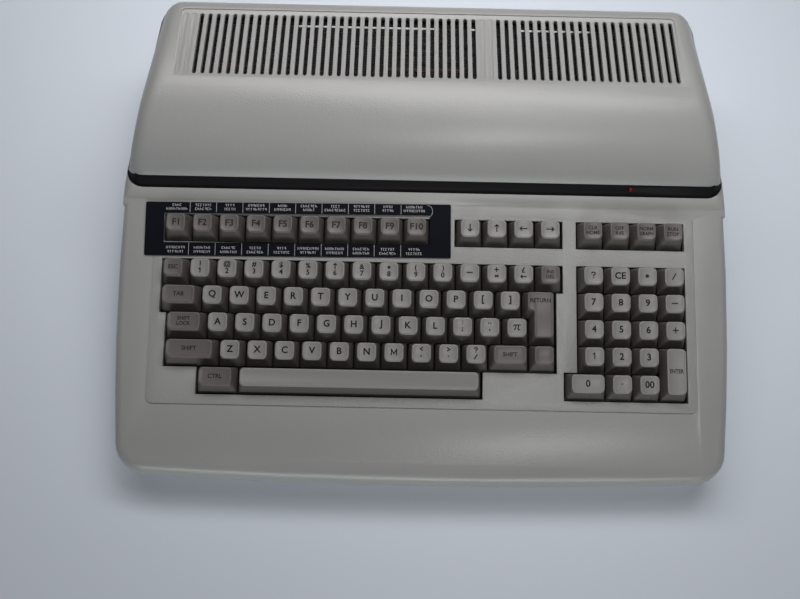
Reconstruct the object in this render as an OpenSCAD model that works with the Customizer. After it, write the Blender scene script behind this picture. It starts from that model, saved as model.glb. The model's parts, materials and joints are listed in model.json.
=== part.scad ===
// Low desktop computer of the early eighties with its keyboard built into the case.
// A sloping deck carries the keys, a vented hood behind it covers the power supply and the
// main board, and a dark band runs between the two. The origin is on the table, under the
// middle of the case: X to the right, Y to the rear, Z up. The home row is the upper letter row.

/* [Case] */
// Overall width of the case
case_w = 440; // [434:1:460]
// Reach of the case in front of the home row
front_reach = 129; // [127:0.5:140]
// Reach of the case behind the home row
rear_reach = 216.5; // [214:0.5:230]
// Height of the key deck above the table at the home row
deck_h = 47; // [46.5:0.5:55]
// Slope of the key deck in degrees
deck_tilt = 8; // [7:0.25:8.5]
// Wall of the moulded case
wall = 3; // [2.6:0.1:3.2]
// Height of the joint between the upper and the lower moulding
part_h = 16; // [15.5:0.25:16.5]
// Radius of the front corners seen from above
front_corner_r = 22; // [20:1:26]
// Radius of the rear corners seen from above
rear_corner_r = 18; // [16:1:20]
// Radius of the long edges of the deck
edge_r = 7; // [5:0.5:8]
// Radius of the front edge
nose_r = 12; // [9:0.5:13]
// Radius of the slight bow of the front edge
front_bow_r = 4500; // [3500:100:8000]
// Radius of the slight bow of the sides
side_bow_r = 1500; // [1300:50:3000]
// How much each side draws in, per millimetre towards the rear, behind the band
side_taper = 0.16; // [0.13:0.01:0.17]

/* [Hood] */
// Height of the crest of the hood above the table
crest_h = 93.3; // [91:0.5:104]
// Distance of the crest behind the home row
crest_y = 146; // [143:1:149]
// Fall of the hood towards the rear in degrees
vent_slope = 5.2; // [4.4:0.2:6]
// Distance of the hood's front lip behind the home row, along the deck
hood_y = 84.8; // [84.2:0.2:87]
// Height of the hood's front lip above the deck
hood_lip_h = 8; // [7:0.25:9.5]
// Radius of the hood's long upper edges
hood_edge_r = 12; // [9:0.5:14]
// Radius of the hood's rear upper edge
hood_rear_r = 10; // [7:0.5:12]
// Radius of the hood's front corners seen from above
hood_corner_r = 8; // [6:0.5:10]
// Lean of the hood's sides, per millimetre of height
hood_lean = 0.29; // [0.2:0.01:0.31]
// Step in from the side of the case to the foot of the hood
hood_step = 2.6; // [2.4:0.1:3.6]
// Width of the ledge left outside the seam round the hood
ledge_w = 1.2; // [1:0.1:1.6]

/* [Vents] */
// Spacing of the slots
vent_pitch = 6; // [5.8:0.05:6.05]
// Width of a slot
vent_w = 3; // [2:0.1:3.6]
// Distance from the rear ends of the slots to the rear of the case
vent_rear_gap = 13.9; // [13.4:0.1:22]
// Distance from the side of the case to the middle of the first slot place
vent_side_gap = 43; // [42:1:60]
// Slot places left blind at the left end of each group
vent_blind = 2; // [1:1:4]
// Slot places in the left group, blind ones included
vent_left = 36; // [24:1:40]
// Depth of a blind slot
blind_depth = 0.8; // [0.4:0.1:1.2]
// Step of the vent panel at its rear edge
vent_step = 0.8; // [0.4:0.1:1.2]

/* [Band] */
// Distance of the band's front edge behind the home row, along the deck
band_y = 77.3; // [76.7:0.1:78.1]
// Radius of the band's front corners
band_corner_r = 13; // [11:0.5:14]
// Depth of the band's channel below the deck
band_depth = 4; // [3:0.25:4.5]
// Rise of the deck to the band
ridge_rise = 3; // [2:0.25:3.5]
// Distance behind the home row where the deck starts to rise
ridge_y = 65.5; // [63:0.5:67]
// Diameter of the power lamp
lamp_d = 3.2; // [3:0.1:4.4]
// Distance of the lamp from the middle of the case
lamp_x = 148; // [100:1:180]

/* [Keys] */
// Spacing of the keys
key_pitch = 19.05; // [18.7:0.05:19.1]
// Gap between neighbouring keys
key_gap = 1; // [0.8:0.1:1.4]
// Height of a key's top above the deck
key_top_h = 8; // [7.5:0.25:10]
// Depth of a key's skirt below the deck
key_skirt = 2.5; // [2:0.25:3]
// Width of the flank on either side of a key's top
flank_side = 2.3; // [1.8:0.1:2.8]
// Width of the flank in front of a key's top
flank_front = 5.8; // [5:0.1:6.4]
// Radius of the corners of a key's top
key_corner_r = 2.8; // [2:0.1:3.4]
// Depth of the hollow in a key's top
dish_depth = 0.7; // [0.3:0.1:1]
// Travel of a key
key_travel = 3.8; // [3:0.1:4]
// Margin of the deck's openings outside the key block
deck_margin = 0.6; // [0.4:0.1:0.8]
// Width of a switch plunger
plunger_w = 5; // [4:0.1:5.5]
// Width of a switch body
switch_w = 13.8; // [13:0.1:14]

/* [Card] */
// Width of the card laid round the function keys
card_w = 220; // [217:0.5:224]
// Depth of the card
card_d = 39; // [38:0.5:40]
// Thickness of the card
card_t = 0.8; // [0.5:0.1:1.2]
// Turn of the card on the deck in degrees
card_turn = 0.6; // [0:0.1:0.7]

/* [Inside] */
// Thickness of the key plate
plate_t = 1.2; // [1:0.1:1.5]
// Thickness of the circuit boards
board_t = 1.6; // [1.4:0.1:2]
// Height of the main board's underside above the table
board_z = 14; // [13:0.5:14.5]
// Thickness of the steel screen under the vents
screen_t = 1; // [0.8:0.1:1.2]
// Depth of the screen below the outside of the hood
screen_drop = 7; // [6:0.25:9]

/* [Base] */
// Diameter of a foot
foot_d = 16; // [12:0.5:18]
// Height of a foot
foot_h = 5; // [4.5:0.25:5.5]
// Diameter of a case screw
screw_d = 3; // [2.6:0.1:3.4]
// Running clearance of moving parts
clear = 0.05; // [0.03:0.01:0.1]
// Gap between pieces that are only laid together
seat = 0.2; // [0.1:0.05:0.25]

/* [Hidden] */
$fn = 32;

CASE_COLOR = [0.72, 0.71, 0.67];
DARK = [0.13, 0.12, 0.12];
SKIRT_COLOR = [0.36, 0.33, 0.31];
CAP_COLOR = [0.70, 0.68, 0.66];
GREY_CAP = [0.50, 0.46, 0.44];
STEEL = [0.62, 0.63, 0.64];
BOARD_GREEN = [0.12, 0.32, 0.18];

home_y = (front_reach - rear_reach) / 2;
half_w = case_w / 2;
EPS = 0.01;
FAR = 1000;

// ---------- the two working frames ----------
// Plan frame: x to the right and y to the rear of the home row, both level.
// Deck frame: the same origin raised to the deck and tilted with it.
module on_plan() translate([0, home_y, 0]) children();
module on_deck() translate([0, home_y, deck_h]) rotate([deck_tilt, 0, 0]) children();
// Vent frame: on the crest, tilted with the vent panel, z out of the panel
module on_vents() translate([0, home_y + crest_y, crest_h]) rotate([-vent_slope, 0, 0]) children();
// Panel frame: on the outside of the rear panel at height z, y to the rear
module on_panel(x, z) translate([x, home_y + rear_reach, z]) children();

// Height above the table of the plane that lies zd above the deck, at plan distance y
function deck_z(y, zd) = deck_h + y * tan(deck_tilt) + zd / cos(deck_tilt);
// Plan distance and height of a point given in the deck frame
function deck_to_plan(y, zd) = [
    y * cos(deck_tilt) - zd * sin(deck_tilt),
    deck_h + y * sin(deck_tilt) + zd * cos(deck_tilt)
];
// How far a round of radius r has drawn in at depth d below its top
function round_in(r, d) = d >= r ? 0 : r - sqrt(r * r - (r - d) * (r - d));

// ---------- outline of the case seen from above ----------
// The side is bowed about the point widest_y and draws in behind the band.
widest_y = 25;
taper_y = 86;
taper_blend = 24;
function bow_in(y) = pow(min(y, taper_y) - widest_y, 2) / (2 * side_bow_r);
function taper_in(y) = let (u = y - taper_y + taper_blend / 2)
    u <= 0 ? 0
    : u < taper_blend ? side_taper * u * u / (2 * taper_blend)
    : side_taper * (u - taper_blend / 2);
function side_x(y) = half_w - bow_in(y) - taper_in(y);
function front_y(x) = -front_reach + x * x / (2 * front_bow_r);
front_corner_x = side_x(26 - front_reach) - front_corner_r;
front_corner_y = front_y(front_corner_x) + front_corner_r;
rear_corner_y = rear_reach - rear_corner_r;
rear_corner_x = side_x(rear_corner_y) - rear_corner_r;
side_stations = [-70, -30, 25, 74, 80, 86, 92, 98, 150];

// Right half of the outline, front to rear, drawn in by s at the side, f in front, r behind
function half_ring(s, f, r) = concat(
    [for (i = [0:4]) let (x = front_corner_x * i / 4) [x, front_y(x) + f]],
    [for (a = [-75:15:0]) [
        front_corner_x + (front_corner_r - s) * cos(a),
        front_corner_y + (front_corner_r - f) * sin(a)
    ]],
    [for (y = side_stations) [side_x(y) - s, y]],
    [for (a = [0:15:90]) [
        rear_corner_x + (rear_corner_r - s) * cos(a),
        rear_corner_y + (rear_corner_r - r) * sin(a)
    ]]
);
function both_sides(ring) = concat(ring, [for (p = ring) [-p.x, p.y]]);
// Keeps the part of a ring between two plan distances; s is the inset at the side
function between(ring, low, high, s) = [for (p = ring)
    p.y < low ? [min(p.x, side_x(low) - s), low]
    : p.y > high ? [min(p.x, side_x(high) - s), high]
    : p];
// Lifts a ring of plan points to the plane zd above the deck, or to the level z
function on_slope(ring, zd) = [for (p = both_sides(ring)) [p.x, home_y + p.y, deck_z(p.y, zd)]];
function on_level(ring, z) = [for (p = both_sides(ring)) [p.x, home_y + p.y, z]];

// Tight convex skin over the points of its sections
module skin(points) {
    last = len(points) - 1;
    hull()
        polyhedron(points, [for (i = [0:3:last]) [i, min(i + 1, last), min(i + 2, last)]]);
}

// The front round may not reach the joint
function front_round(top_zd) = min(nose_r, (deck_z(-front_reach, top_zd) - part_h) * 0.95);

// Form under the deck: inset draws it in on all sides, top_zd is its upper plane
module deck_form(inset, top_zd, base_z, high = FAR) {
    steps = inset > 0 ? 2 : 5;
    side_r = max(edge_r - inset, 1);
    front_r = max(front_round(0) - inset, 1);
    skin(concat(
        [for (i = [0:steps]) each let (
            d = front_r * (1 - cos(90 * i / steps)),
            s = inset + round_in(side_r, d)
        ) on_slope(between(half_ring(s, inset + round_in(front_r, d), inset), -FAR, high, s),
            top_zd - d)],
        on_level(between(half_ring(inset, inset, inset), -FAR, high, inset), base_z)
    ));
}

// Behind the keys the deck rises to a low ridge and stays at that height under the hood
module ridge_form() {
    steps = 5;
    skin([for (i = [0:steps]) each let (
        d = (ridge_rise + edge_r) * i / steps,
        start = band_y - (band_y - ridge_y) * min(d / ridge_rise, 1),
        s = round_in(edge_r, d)
    ) on_slope(between(half_ring(s, 0, 0), start * cos(deck_tilt), FAR, s), ridge_rise - d)]);
}

// ---------- hood ----------
lip = deck_to_plan(hood_y, hood_lip_h);
crest = [crest_y, crest_h];
hood_normal = [sin(vent_slope), cos(vent_slope)];
lip_gap = lip - crest;
// Arc that leaves the lip and meets the vent panel tangentially at the crest
hood_arc_r = -(lip_gap * lip_gap) / (2 * lip_gap * hood_normal);
hood_arc_c = crest - hood_arc_r * hood_normal;
lip_angle = atan2(lip.y - hood_arc_c.y, lip.x - hood_arc_c.x);
crest_angle = 90 - vent_slope;
function hood_top_z(y) = crest_h - (y - crest_y) * tan(vent_slope);
// The side of the hood follows the outline of the case and leans in as it rises
function hood_side_x(y, z) = side_x(y) - hood_step - hood_lean * max(0, z - deck_z(y, 0));

// Lengthwise section of the hood, drawn in by t above, f in front and r behind
function hood_section(t, f, r, foot_zd) = let (
    foot = deck_to_plan(hood_y + f, foot_zd),
    rear_y = rear_reach - r,
    corner_r = max(hood_rear_r - max(t, r), 0.3),
    corner = [rear_y - corner_r, hood_top_z(rear_y - corner_r) - t - corner_r]
) concat(
    [foot],
    [for (i = [0:8]) let (a = lip_angle + (crest_angle - lip_angle) * i / 8)
        hood_arc_c + (hood_arc_r - f - (t - f) * i / 8) * [cos(a), sin(a)]],
    [for (i = [0:4]) let (a = crest_angle * (1 - i / 4)) corner + corner_r * [cos(a), sin(a)]],
    [[rear_y, deck_z(rear_y, foot_zd)]]
);
function hood_points(inset, foot_zd) = [
    for (i = [0:5]) each let (
        out = 1 - sin(18 * i),
        down = 1 - cos(18 * i),
        in = inset + (hood_edge_r - inset) * out,
        section = hood_section(
            inset + (hood_edge_r - inset) * down,
            inset + (hood_corner_r - inset) * down,
            inset + (rear_corner_r - inset) * down,
            foot_zd
        )
    ) [for (p = section, side = [-1, 1])
        [side * (hood_side_x(p.x, p.y) - in), home_y + p.x, p.y]]
];

// ---------- band channel ----------
band_corner_y = band_y + band_corner_r;
function deck_side_x(y) = side_x(y * cos(deck_tilt));
band_corner_x = deck_side_x(band_corner_y) - ledge_w - band_corner_r;
function channel_half(gap) = concat(
    [[0, band_y + gap]],
    [for (a = [-90:15:0])
        [band_corner_x, band_corner_y] + (band_corner_r - gap) * [cos(a), sin(a)]],
    [for (y = [92, 98, 150]) [side_x(y) - ledge_w - gap, y / cos(deck_tilt)]],
    [for (a = [0:15:90]) [
        rear_corner_x + (rear_corner_r - ledge_w) * cos(a),
        (rear_corner_y + (rear_corner_r - ledge_w) * sin(a)) / cos(deck_tilt)
    ]]
);
function mirrored_outline(half) = concat(
    half, [for (i = [len(half) - 1:-1:0]) [-half[i].x, half[i].y]]);

// Face of the trim, from its front foot to just below the hood's lip
trim_foot = [band_y + 0.7, 0.8];
trim_top = [hood_y - 0.8, hood_lip_h - 0.5];
trim_angle = atan2(trim_top.y - trim_foot.y, trim_top.x - trim_foot.x);
trim_profile = [
    [band_y + seat, -band_depth], [band_y + seat, 0.5], trim_foot, trim_top,
    [hood_y - seat, hood_lip_h - 0.3], [hood_y - seat, -band_depth]
];
lamp_at = trim_foot + (trim_top - trim_foot) * 0.66;
lamp_r = lamp_d / 2;
module on_lamp() on_deck() translate([lamp_x, lamp_at.x, lamp_at.y]) rotate([trim_angle, 0, 0]) children();

// ---------- keyboard layout, in key units: column u from the left, row v from the rear ----------
// Each run is [first column, row, keys in the run]; each single is [column, row, width, depth].
FUNCTION_LEFT = [-0.5, -1.7, 5];
FUNCTION_RIGHT = [4.5, -1.7, 5];
ARROWS = [10.5, -1.7, 4];
EDIT = [15.1, -1.7, 4];
NUMBERS_LEFT = [0.5, 0, 6];
NUMBERS_RIGHT = [6.5, 0, 7];
UPPER_LEFT = [1, 1, 6];
UPPER_RIGHT = [7, 1, 6];
HOME_LEFT = [1.25, 2, 6];
HOME_RIGHT = [7.25, 2, 6];
LOWER_LEFT = [1.75, 3, 5];
LOWER_RIGHT = [6.75, 3, 5];
PAD_0 = [15.1, 0, 4];
PAD_1 = [15.1, 1, 4];
PAD_2 = [15.1, 2, 4];
PAD_3 = [15.1, 3, 3];
PAD_4 = [16.1, 4, 2];
RUNS = [
    FUNCTION_LEFT, FUNCTION_RIGHT, ARROWS, EDIT, NUMBERS_LEFT, NUMBERS_RIGHT, UPPER_LEFT,
    UPPER_RIGHT, HOME_LEFT, HOME_RIGHT, LOWER_LEFT, LOWER_RIGHT, PAD_0, PAD_1, PAD_2, PAD_3, PAD_4
];
ESCAPE = [-0.5, 0, 1, 1];
INSERT = [13.5, 0, 1, 1];
TAB = [-0.5, 1, 1.5, 1];
RETURN_STEM = [13.25, 1, 1, 2];
RETURN_ARM = [13, 1, 1.25, 1];
SHIFT_LOCK = [-0.25, 2, 1.5, 1];
LEFT_SHIFT = [-0.25, 3, 2, 1];
RIGHT_SHIFT = [11.75, 3, 1.5, 1];
SYSTEM = [13.25, 3, 1, 1];
CONTROL = [1, 4, 1.5, 1];
SPACE = [2.5, 4, 9, 1];
ENTER = [18.1, 3, 1, 2];
ZERO = [14.6, 4, 1.5, 1];
SINGLES = [
    ESCAPE, INSERT, TAB, RETURN_STEM, SHIFT_LOCK, LEFT_SHIFT, RIGHT_SHIFT, SYSTEM, CONTROL,
    SPACE, ENTER, ZERO
];
// Openings of the deck: [first column, last column, first row, last row]
WINDOWS = [
    [-0.5, 9.5, -1.7, -1.7], [10.5, 14.5, -1.7, -1.7], [15.1, 19.1, -1.7, -1.7],
    [-0.5, 14.5, 0, 0], [-0.5, 14.25, 1, 1], [-0.25, 14.25, 2, 3], [1, 11.5, 4, 4],
    [15.1, 19.1, 0, 3], [14.6, 19.1, 4, 4]
];
MID_COLUMN = 9.3;
// A key's foot lies in front of its top
key_set_back = (flank_front - 0.2) / 2;
function key_x(u) = (u - MID_COLUMN) * key_pitch;
function key_y(v) = (1 - v) * key_pitch - key_set_back;
function key_of(run, i) = [run[0] + i, run[1], 1, 1];
function key_centre(key) = [key_x(key[0] + key[2] / 2), key_y(key[1] + (key[3] - 1) / 2)];
switch_centres = concat(
    [for (run = RUNS, i = [0:run[2] - 1]) key_centre(key_of(run, i))],
    [for (key = SINGLES) key_centre(key)]
);

// Heights in the deck frame
plate_top = -8;
switch_base = plate_top - 8;
switch_top = plate_top + 1;
plunger_base = switch_base + key_travel + 0.7;
block_side = key_x(19.1);
block_front = key_y(4) - key_pitch / 2;
block_rear = key_y(-1.7) + key_pitch / 2;
post_gap = 4.8;
plate_half_w = block_side + 1.5;
plate_front = block_front - post_gap - 3.7;
plate_rear = block_rear + post_gap + 3.7;
plate_posts = [
    for (x = [-150, -50, 50, 150], y = [block_front - post_gap, block_rear + post_gap]) [x, y],
    [key_x(14.8), 0], [-40, key_y(-0.85)], [60, key_y(-0.85)]
];
plate_post_r = 2.5;
plate_screw_r = 1;

// ---------- base ----------
base_in = 10;
floor_z = foot_h + wall;
panel_half_w = half_w - 44;
panel_top = 50;
case_bosses = [for (side = [-1, 1]) each [
    [side * (half_w - 34), 23 - front_reach],
    [side * (half_w - 16.5), band_y + 8],
    [side * (half_w - 36), rear_reach - 22]
]];
boss_r = 4;
screw_r = screw_d / 2;
screw_seat_z = 11;
screw_end_z = 25;
board_left = -panel_half_w;
board_right = panel_half_w - 66;
board_front = 20;
board_rear = rear_reach - 8.5;
board_top = board_z + board_t;
board_edge = 8;
// Places across the rear panel and the main board spread with their width
function spread(x) = x * panel_half_w / 176;
standoffs = [
    for (x = [board_left + board_edge, spread(-21), board_right - board_edge],
        y = [board_front + board_edge, board_rear - board_edge - 1]) [x, y]
];
feet_at = [for (side = [-1, 1]) each [
    [side * (half_w - 40), 33 - front_reach],
    [side * (half_w - 55), rear_reach - 36.5]
]];

// Sockets on the rear panel: distance from the middle and height of each
INLET = [spread(150), 32];
FUSE = [spread(117), 32];
ROCKER = [spread(90), 32];
RESET = [spread(62), 27];
SERIAL = [spread(10), 27];
EXPANSION = [spread(-65), 27];
VIDEO = [spread(-122), 27];
AUDIO = [spread(-150), 24];

function rounded_rect(x0, y0, x1, y1, r, n = 3) = [
    for (c = [[x1 - r, y1 - r, 0], [x0 + r, y1 - r, 90], [x0 + r, y0 + r, 180], [x1 - r, y0 + r, 270]],
        i = [0:n])
    [c.x + r * cos(c.z + 90 * i / n), c.y + r * sin(c.z + 90 * i / n)]
];
// Straight slot with round ends along y
function slot_outline(w, length) = concat(
    [for (a = [0:36:180]) [cos(a) * w / 2, length - w / 2 + sin(a) * w / 2]],
    [for (a = [180:36:360]) [cos(a) * w / 2, w / 2 + sin(a) * w / 2]]
);
module centred(size, at = [0, 0, 0]) translate(at - [size.x, size.y, 0] / 2) cube(size);
// Round bar along y that ends at y, length long towards the front
module bar_y(r, y, length) translate([0, y, 0]) rotate([90, 0, 0]) cylinder(r = r, h = length);

// ---------- upper moulding ----------
module deck_windows()
    on_deck()
        for (w = WINDOWS) {
            x0 = key_x(w[0]) - deck_margin - 0.4;
            x1 = key_x(w[1]) + deck_margin + 0.4;
            y0 = key_y(w[3]) - key_pitch / 2 - deck_margin;
            y1 = key_y(w[2]) + key_pitch / 2 + deck_margin;
            translate([x0, y0, -wall * 2])
                cube([x1 - x0, y1 - y0, wall * 4]);
        }

// Fine groove that frames the key panel on three sides
groove_w = 1;
groove_depth = 0.6;
groove_r = 5.5;
groove_side = block_side + 7.8;
groove_front = block_front - 8.3;
groove_rear = 62;
module deck_groove()
    on_deck()
        translate([0, 0, -groove_depth])
            linear_extrude(2)
                difference() {
                    polygon(rounded_rect(-groove_side, groove_front, groove_side, groove_rear + 10, groove_r));
                    polygon(rounded_rect(-groove_side + groove_w, groove_front + groove_w,
                        groove_side - groove_w, groove_rear + 20, groove_r - groove_w));
                    translate([-FAR / 2, groove_rear])
                        square([FAR, 40]);
                }

vent_start = 3;
vent_len = rear_reach - crest_y - vent_start - vent_rear_gap;
vent_places = floor((case_w - 2 * vent_side_gap) / vent_pitch + EPS) + 1;
function vent_x(i) = (i - (vent_places - 1) / 2) * vent_pitch;
function is_blind(i) = i < vent_blind || (i >= vent_left && i < vent_left + vent_blind);
module vent_slots(blind)
    on_vents()
        for (i = [0:vent_places - 1])
            if (is_blind(i) == blind)
                translate([vent_x(i), vent_start, blind ? -blind_depth - 0.3 : -wall * 2])
                    linear_extrude(wall * 4)
                        polygon(slot_outline(vent_w, vent_len));

// The vent panel sinks below the hood towards the rear
field_half_w = (vent_places - 1) / 2 * vent_pitch + 3.3;
field_len = vent_start + vent_len + 3.6;
field_r = 3.5;
field_corner_x = field_half_w - field_r;
field_corner_y = field_len - field_r;
module vent_field()
    on_vents()
        rotate([-atan(vent_step / field_len), 0, 0])
            linear_extrude(6)
                polygon(concat(
                    [[-field_half_w, 0], [field_half_w, 0]],
                    [for (a = [0:30:90]) [field_corner_x, field_corner_y] + field_r * [cos(a), sin(a)]],
                    [for (a = [90:30:180]) [-field_corner_x, field_corner_y] + field_r * [cos(a), sin(a)]]
                ));

// Posts of the screen hang from solid places of the vent panel
screen_posts = [for (y = [vent_start + 5, vent_len - 1.6]) each [
    [vent_x(0) - vent_pitch, y],
    [vent_x(vent_left) + vent_pitch / 2, y],
    [vent_x(vent_places - 1) + vent_pitch, y]
]];
screen_post_r = 2.2;
screen_pin_r = 1.2;
module screen_mounts()
    on_vents()
        for (p = screen_posts)
            translate([p.x, p.y, -screen_drop]) {
                cylinder(r = screen_post_r, h = screen_drop - wall / 2);
                translate([0, 0, -screen_t - 1])
                    cylinder(r = screen_pin_r, h = screen_t + 2);
            }

module case_boss(at) {
    top = at.y > band_y ? min(deck_z(at.y, -band_depth - wall / 2), 60) : deck_z(at.y, -wall / 2);
    on_plan()
        difference() {
            union() {
                translate([at.x, at.y, part_h])
                    cylinder(r = boss_r, h = top - part_h);
                if (at.y > band_y)
                    translate([at.x > 0 ? at.x : -side_x(at.y) + 1, at.y - 1, part_h])
                        cube([side_x(at.y) - 1 - abs(at.x), 2, top - part_h]);
            }
            translate([at.x, at.y, part_h - 1])
                cylinder(r = screw_r + clear, h = screw_end_z + 1 - part_h + 1);
        }
}

module plate_post(at)
    on_deck()
        difference() {
            translate([at.x, at.y, plate_top])
                cylinder(r = plate_post_r, h = -plate_top - wall / 2);
            translate([at.x, at.y, plate_top - 1])
                cylinder(r = plate_screw_r + clear, h = 5);
        }

module top_case() color(CASE_COLOR) {
    difference() {
        union() {
            difference() {
                union() {
                    deck_form(0, 0, part_h);
                    ridge_form();
                }
                on_deck()
                    translate([0, 0, -band_depth])
                        linear_extrude(band_depth + 12)
                            polygon(mirrored_outline(channel_half(0)));
            }
            skin(hood_points(0, -band_depth - wall / 2));
        }
        deck_form(wall, -wall, part_h - 1, band_y * cos(deck_tilt) - wall);
        deck_form(wall, -band_depth - wall, part_h - 1);
        skin(hood_points(wall, -band_depth - wall - 1));
        deck_windows();
        deck_groove();
        vent_field();
        vent_slots(false);
        vent_slots(true);
        on_lamp()
            translate([0, 0, -14])
                cylinder(r = lamp_r + seat / 2, h = 20);
        on_plan()
            translate([-panel_half_w - seat, rear_reach - wall * 2, part_h - 1])
                cube([2 * (panel_half_w + seat), wall * 3, panel_top + seat - part_h + 1]);
    }
    for (at = case_bosses)
        case_boss(at);
    for (at = plate_posts)
        plate_post(at);
    screen_mounts();
}

// ---------- lower moulding ----------
// Shell of the tray, drawn in by inset, from the level z0 up to z1
module tray_form(inset, z0, z1)
    skin(concat(
        on_level(half_ring(base_in + inset, base_in + inset, inset), z0),
        on_level(half_ring(1 + inset, 1 + inset, inset), z1)
    ));

module panel_openings() {
    on_panel(INLET.x, INLET.y) centred([28.4, 20, 21.4], [0, 0, -10.7]);
    on_panel(FUSE.x, FUSE.y) bar_y(6.2, 5, 12);
    on_panel(ROCKER.x, ROCKER.y) centred([15.4, 20, 21.4], [0, 0, -10.7]);
    on_panel(RESET.x, RESET.y) bar_y(2.4 + clear + 0.1, 5, 12);
    on_panel(SERIAL.x, SERIAL.y) {
        centred([40, 20, 9.4], [0, 0, -4.7]);
        for (side = [-1, 1])
            translate([side * jack_spacing / 2, 0, 0])
                bar_y(2.8, 5, 12);
    }
    on_panel(EXPANSION.x, EXPANSION.y) centred([62.4, 20, 11.4], [0, 0, -5.7]);
    on_panel(VIDEO.x, VIDEO.y) bar_y(7.6, 5, 12);
    on_panel(AUDIO.x, AUDIO.y) bar_y(4.2, 5, 12);
}

module bottom_case() color(CASE_COLOR * 0.97) {
    difference() {
        union() {
            difference() {
                tray_form(0, foot_h, part_h);
                tray_form(wall, floor_z, part_h + EPS);
            }
            on_plan()
                translate([-panel_half_w, rear_reach - wall, foot_h + 1])
                    cube([2 * panel_half_w, wall, panel_top - foot_h - 1]);
            on_plan()
                for (at = case_bosses)
                    translate([at.x, at.y, floor_z - 1])
                        cylinder(r = boss_r + 0.5, h = part_h - floor_z + 1);
        }
        on_plan()
            for (at = case_bosses)
                translate([at.x, at.y, 0]) {
                    cylinder(r = screw_r + 1.7, h = screw_seat_z);
                    cylinder(r = screw_r + seat, h = part_h + 1);
                }
        // Air slots under the main board
        on_plan()
            for (i = [0:15])
                translate([spread(-150 + i * 8), rear_reach - 106.5, foot_h - 1])
                    linear_extrude(wall + 2)
                        polygon(slot_outline(vent_w, 36));
        panel_openings();
    }
    on_plan()
        for (at = standoffs)
            difference() {
                translate([at.x, at.y, floor_z - 1])
                    cylinder(r = 3.5, h = board_z - floor_z + 1);
                translate([at.x, at.y, floor_z + 0.5])
                    cylinder(r = screw_r + clear, h = board_z);
            }
}

module feet() color(DARK)
    on_plan()
        for (at = feet_at)
            translate([at.x, at.y, 0])
                cylinder(r1 = foot_d / 2 - 1, r2 = foot_d / 2, h = foot_h);

// Pan-headed screw standing on its tip, head down, the seat of the head at z = 0
module screw(r, shank, head_r, head_h) {
    cylinder(r = r, h = shank);
    difference() {
        translate([0, 0, -head_h])
            cylinder(r1 = head_r * 0.8, r2 = head_r, h = head_h);
        for (a = [0, 90])
            rotate([0, 0, a])
                centred([head_r * 1.3, 0.7, head_h * 0.6], [0, 0, -head_h - EPS]);
    }
}

module case_screws() color(STEEL)
    on_plan()
        for (at = case_bosses)
            translate([at.x, at.y, screw_seat_z])
                screw(screw_r, screw_end_z - screw_seat_z, screw_r + 1.4, 2);

module plate_screws() color(STEEL)
    on_deck()
        for (at = plate_posts)
            translate([at.x, at.y, plate_top - plate_t])
                screw(plate_screw_r, plate_t + 3.6, 2, 1.3);

module board_screws() color(STEEL)
    on_plan()
        for (at = standoffs)
            translate([at.x, at.y, board_top])
                rotate([180, 0, 0])
                    screw(screw_r, board_t + 4, 2.8, 1.8);

// ---------- band and lamp ----------
module band_trim() color(DARK)
    difference() {
        on_deck() {
            rotate([90, 0, 90])
                translate([0, 0, -band_corner_x])
                    linear_extrude(2 * band_corner_x)
                        polygon(trim_profile);
            for (side = [-1, 1])
                translate([side * band_corner_x, band_corner_y, 0])
                    rotate([0, 0, side > 0 ? -90 : 180])
                        rotate_extrude(angle = 90)
                            polygon([for (p = trim_profile) [band_corner_y - p.x, p.y]]);
        }
        skin(hood_points(-seat, -band_depth - wall));
        on_lamp()
            translate([0, 0, -12])
                cylinder(r = lamp_r + seat / 2, h = 20);
    }

module power_lamp() color([0.75, 0.35, 0.2])
    on_lamp() {
        translate([0, 0, -11])
            cylinder(r = lamp_r, h = 11);
        intersection() {
            sphere(r = lamp_r);
            cylinder(r = lamp_d, h = lamp_d);
        }
    }

module lamp_holder() color(DARK)
    difference() {
        on_deck()
            centred([10, 5, 8], [lamp_x, hood_y + wall + 2.5, -5]);
        on_lamp()
            translate([0, 0, -20])
                cylinder(r = lamp_r + clear, h = 24);
    }

// ---------- card round the function keys ----------
card_window = [
    key_x(FUNCTION_LEFT[0]) - 1.9,
    block_rear - key_pitch - 0.9,
    key_x(FUNCTION_RIGHT[0] + FUNCTION_RIGHT[2]) + 0.1,
    block_rear + 1.9
];
CARD_MID = [(card_window[0] + card_window[2]) / 2 + 1.5, (card_window[1] + card_window[3]) / 2 - 0.6];
// Tilt that lifts the rear edge onto the rise of the deck
card_rear_y = CARD_MID.y + card_d / 2 + card_w / 2 * sin(card_turn);
card_lift = max(0, card_rear_y - ridge_y) * ridge_rise / (band_y - ridge_y) + 0.03;
card_tilt = atan(card_lift / card_d);
module key_card() color([0.5, 0.48, 0.45])
    on_deck()
        translate([CARD_MID.x, CARD_MID.y, 0])
            rotate([0, 0, card_turn])
                translate([0, -card_d / 2, EPS])
                    rotate([card_tilt, 0, 0])
                        linear_extrude(card_t)
                            difference() {
                                polygon(rounded_rect(-card_w / 2, 0, card_w / 2, card_d, 1));
                                translate([-CARD_MID.x, card_d / 2 - CARD_MID.y])
                                    polygon(rounded_rect(card_window[0], card_window[1],
                                        card_window[2], card_window[3], 1.5));
                            }

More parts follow.
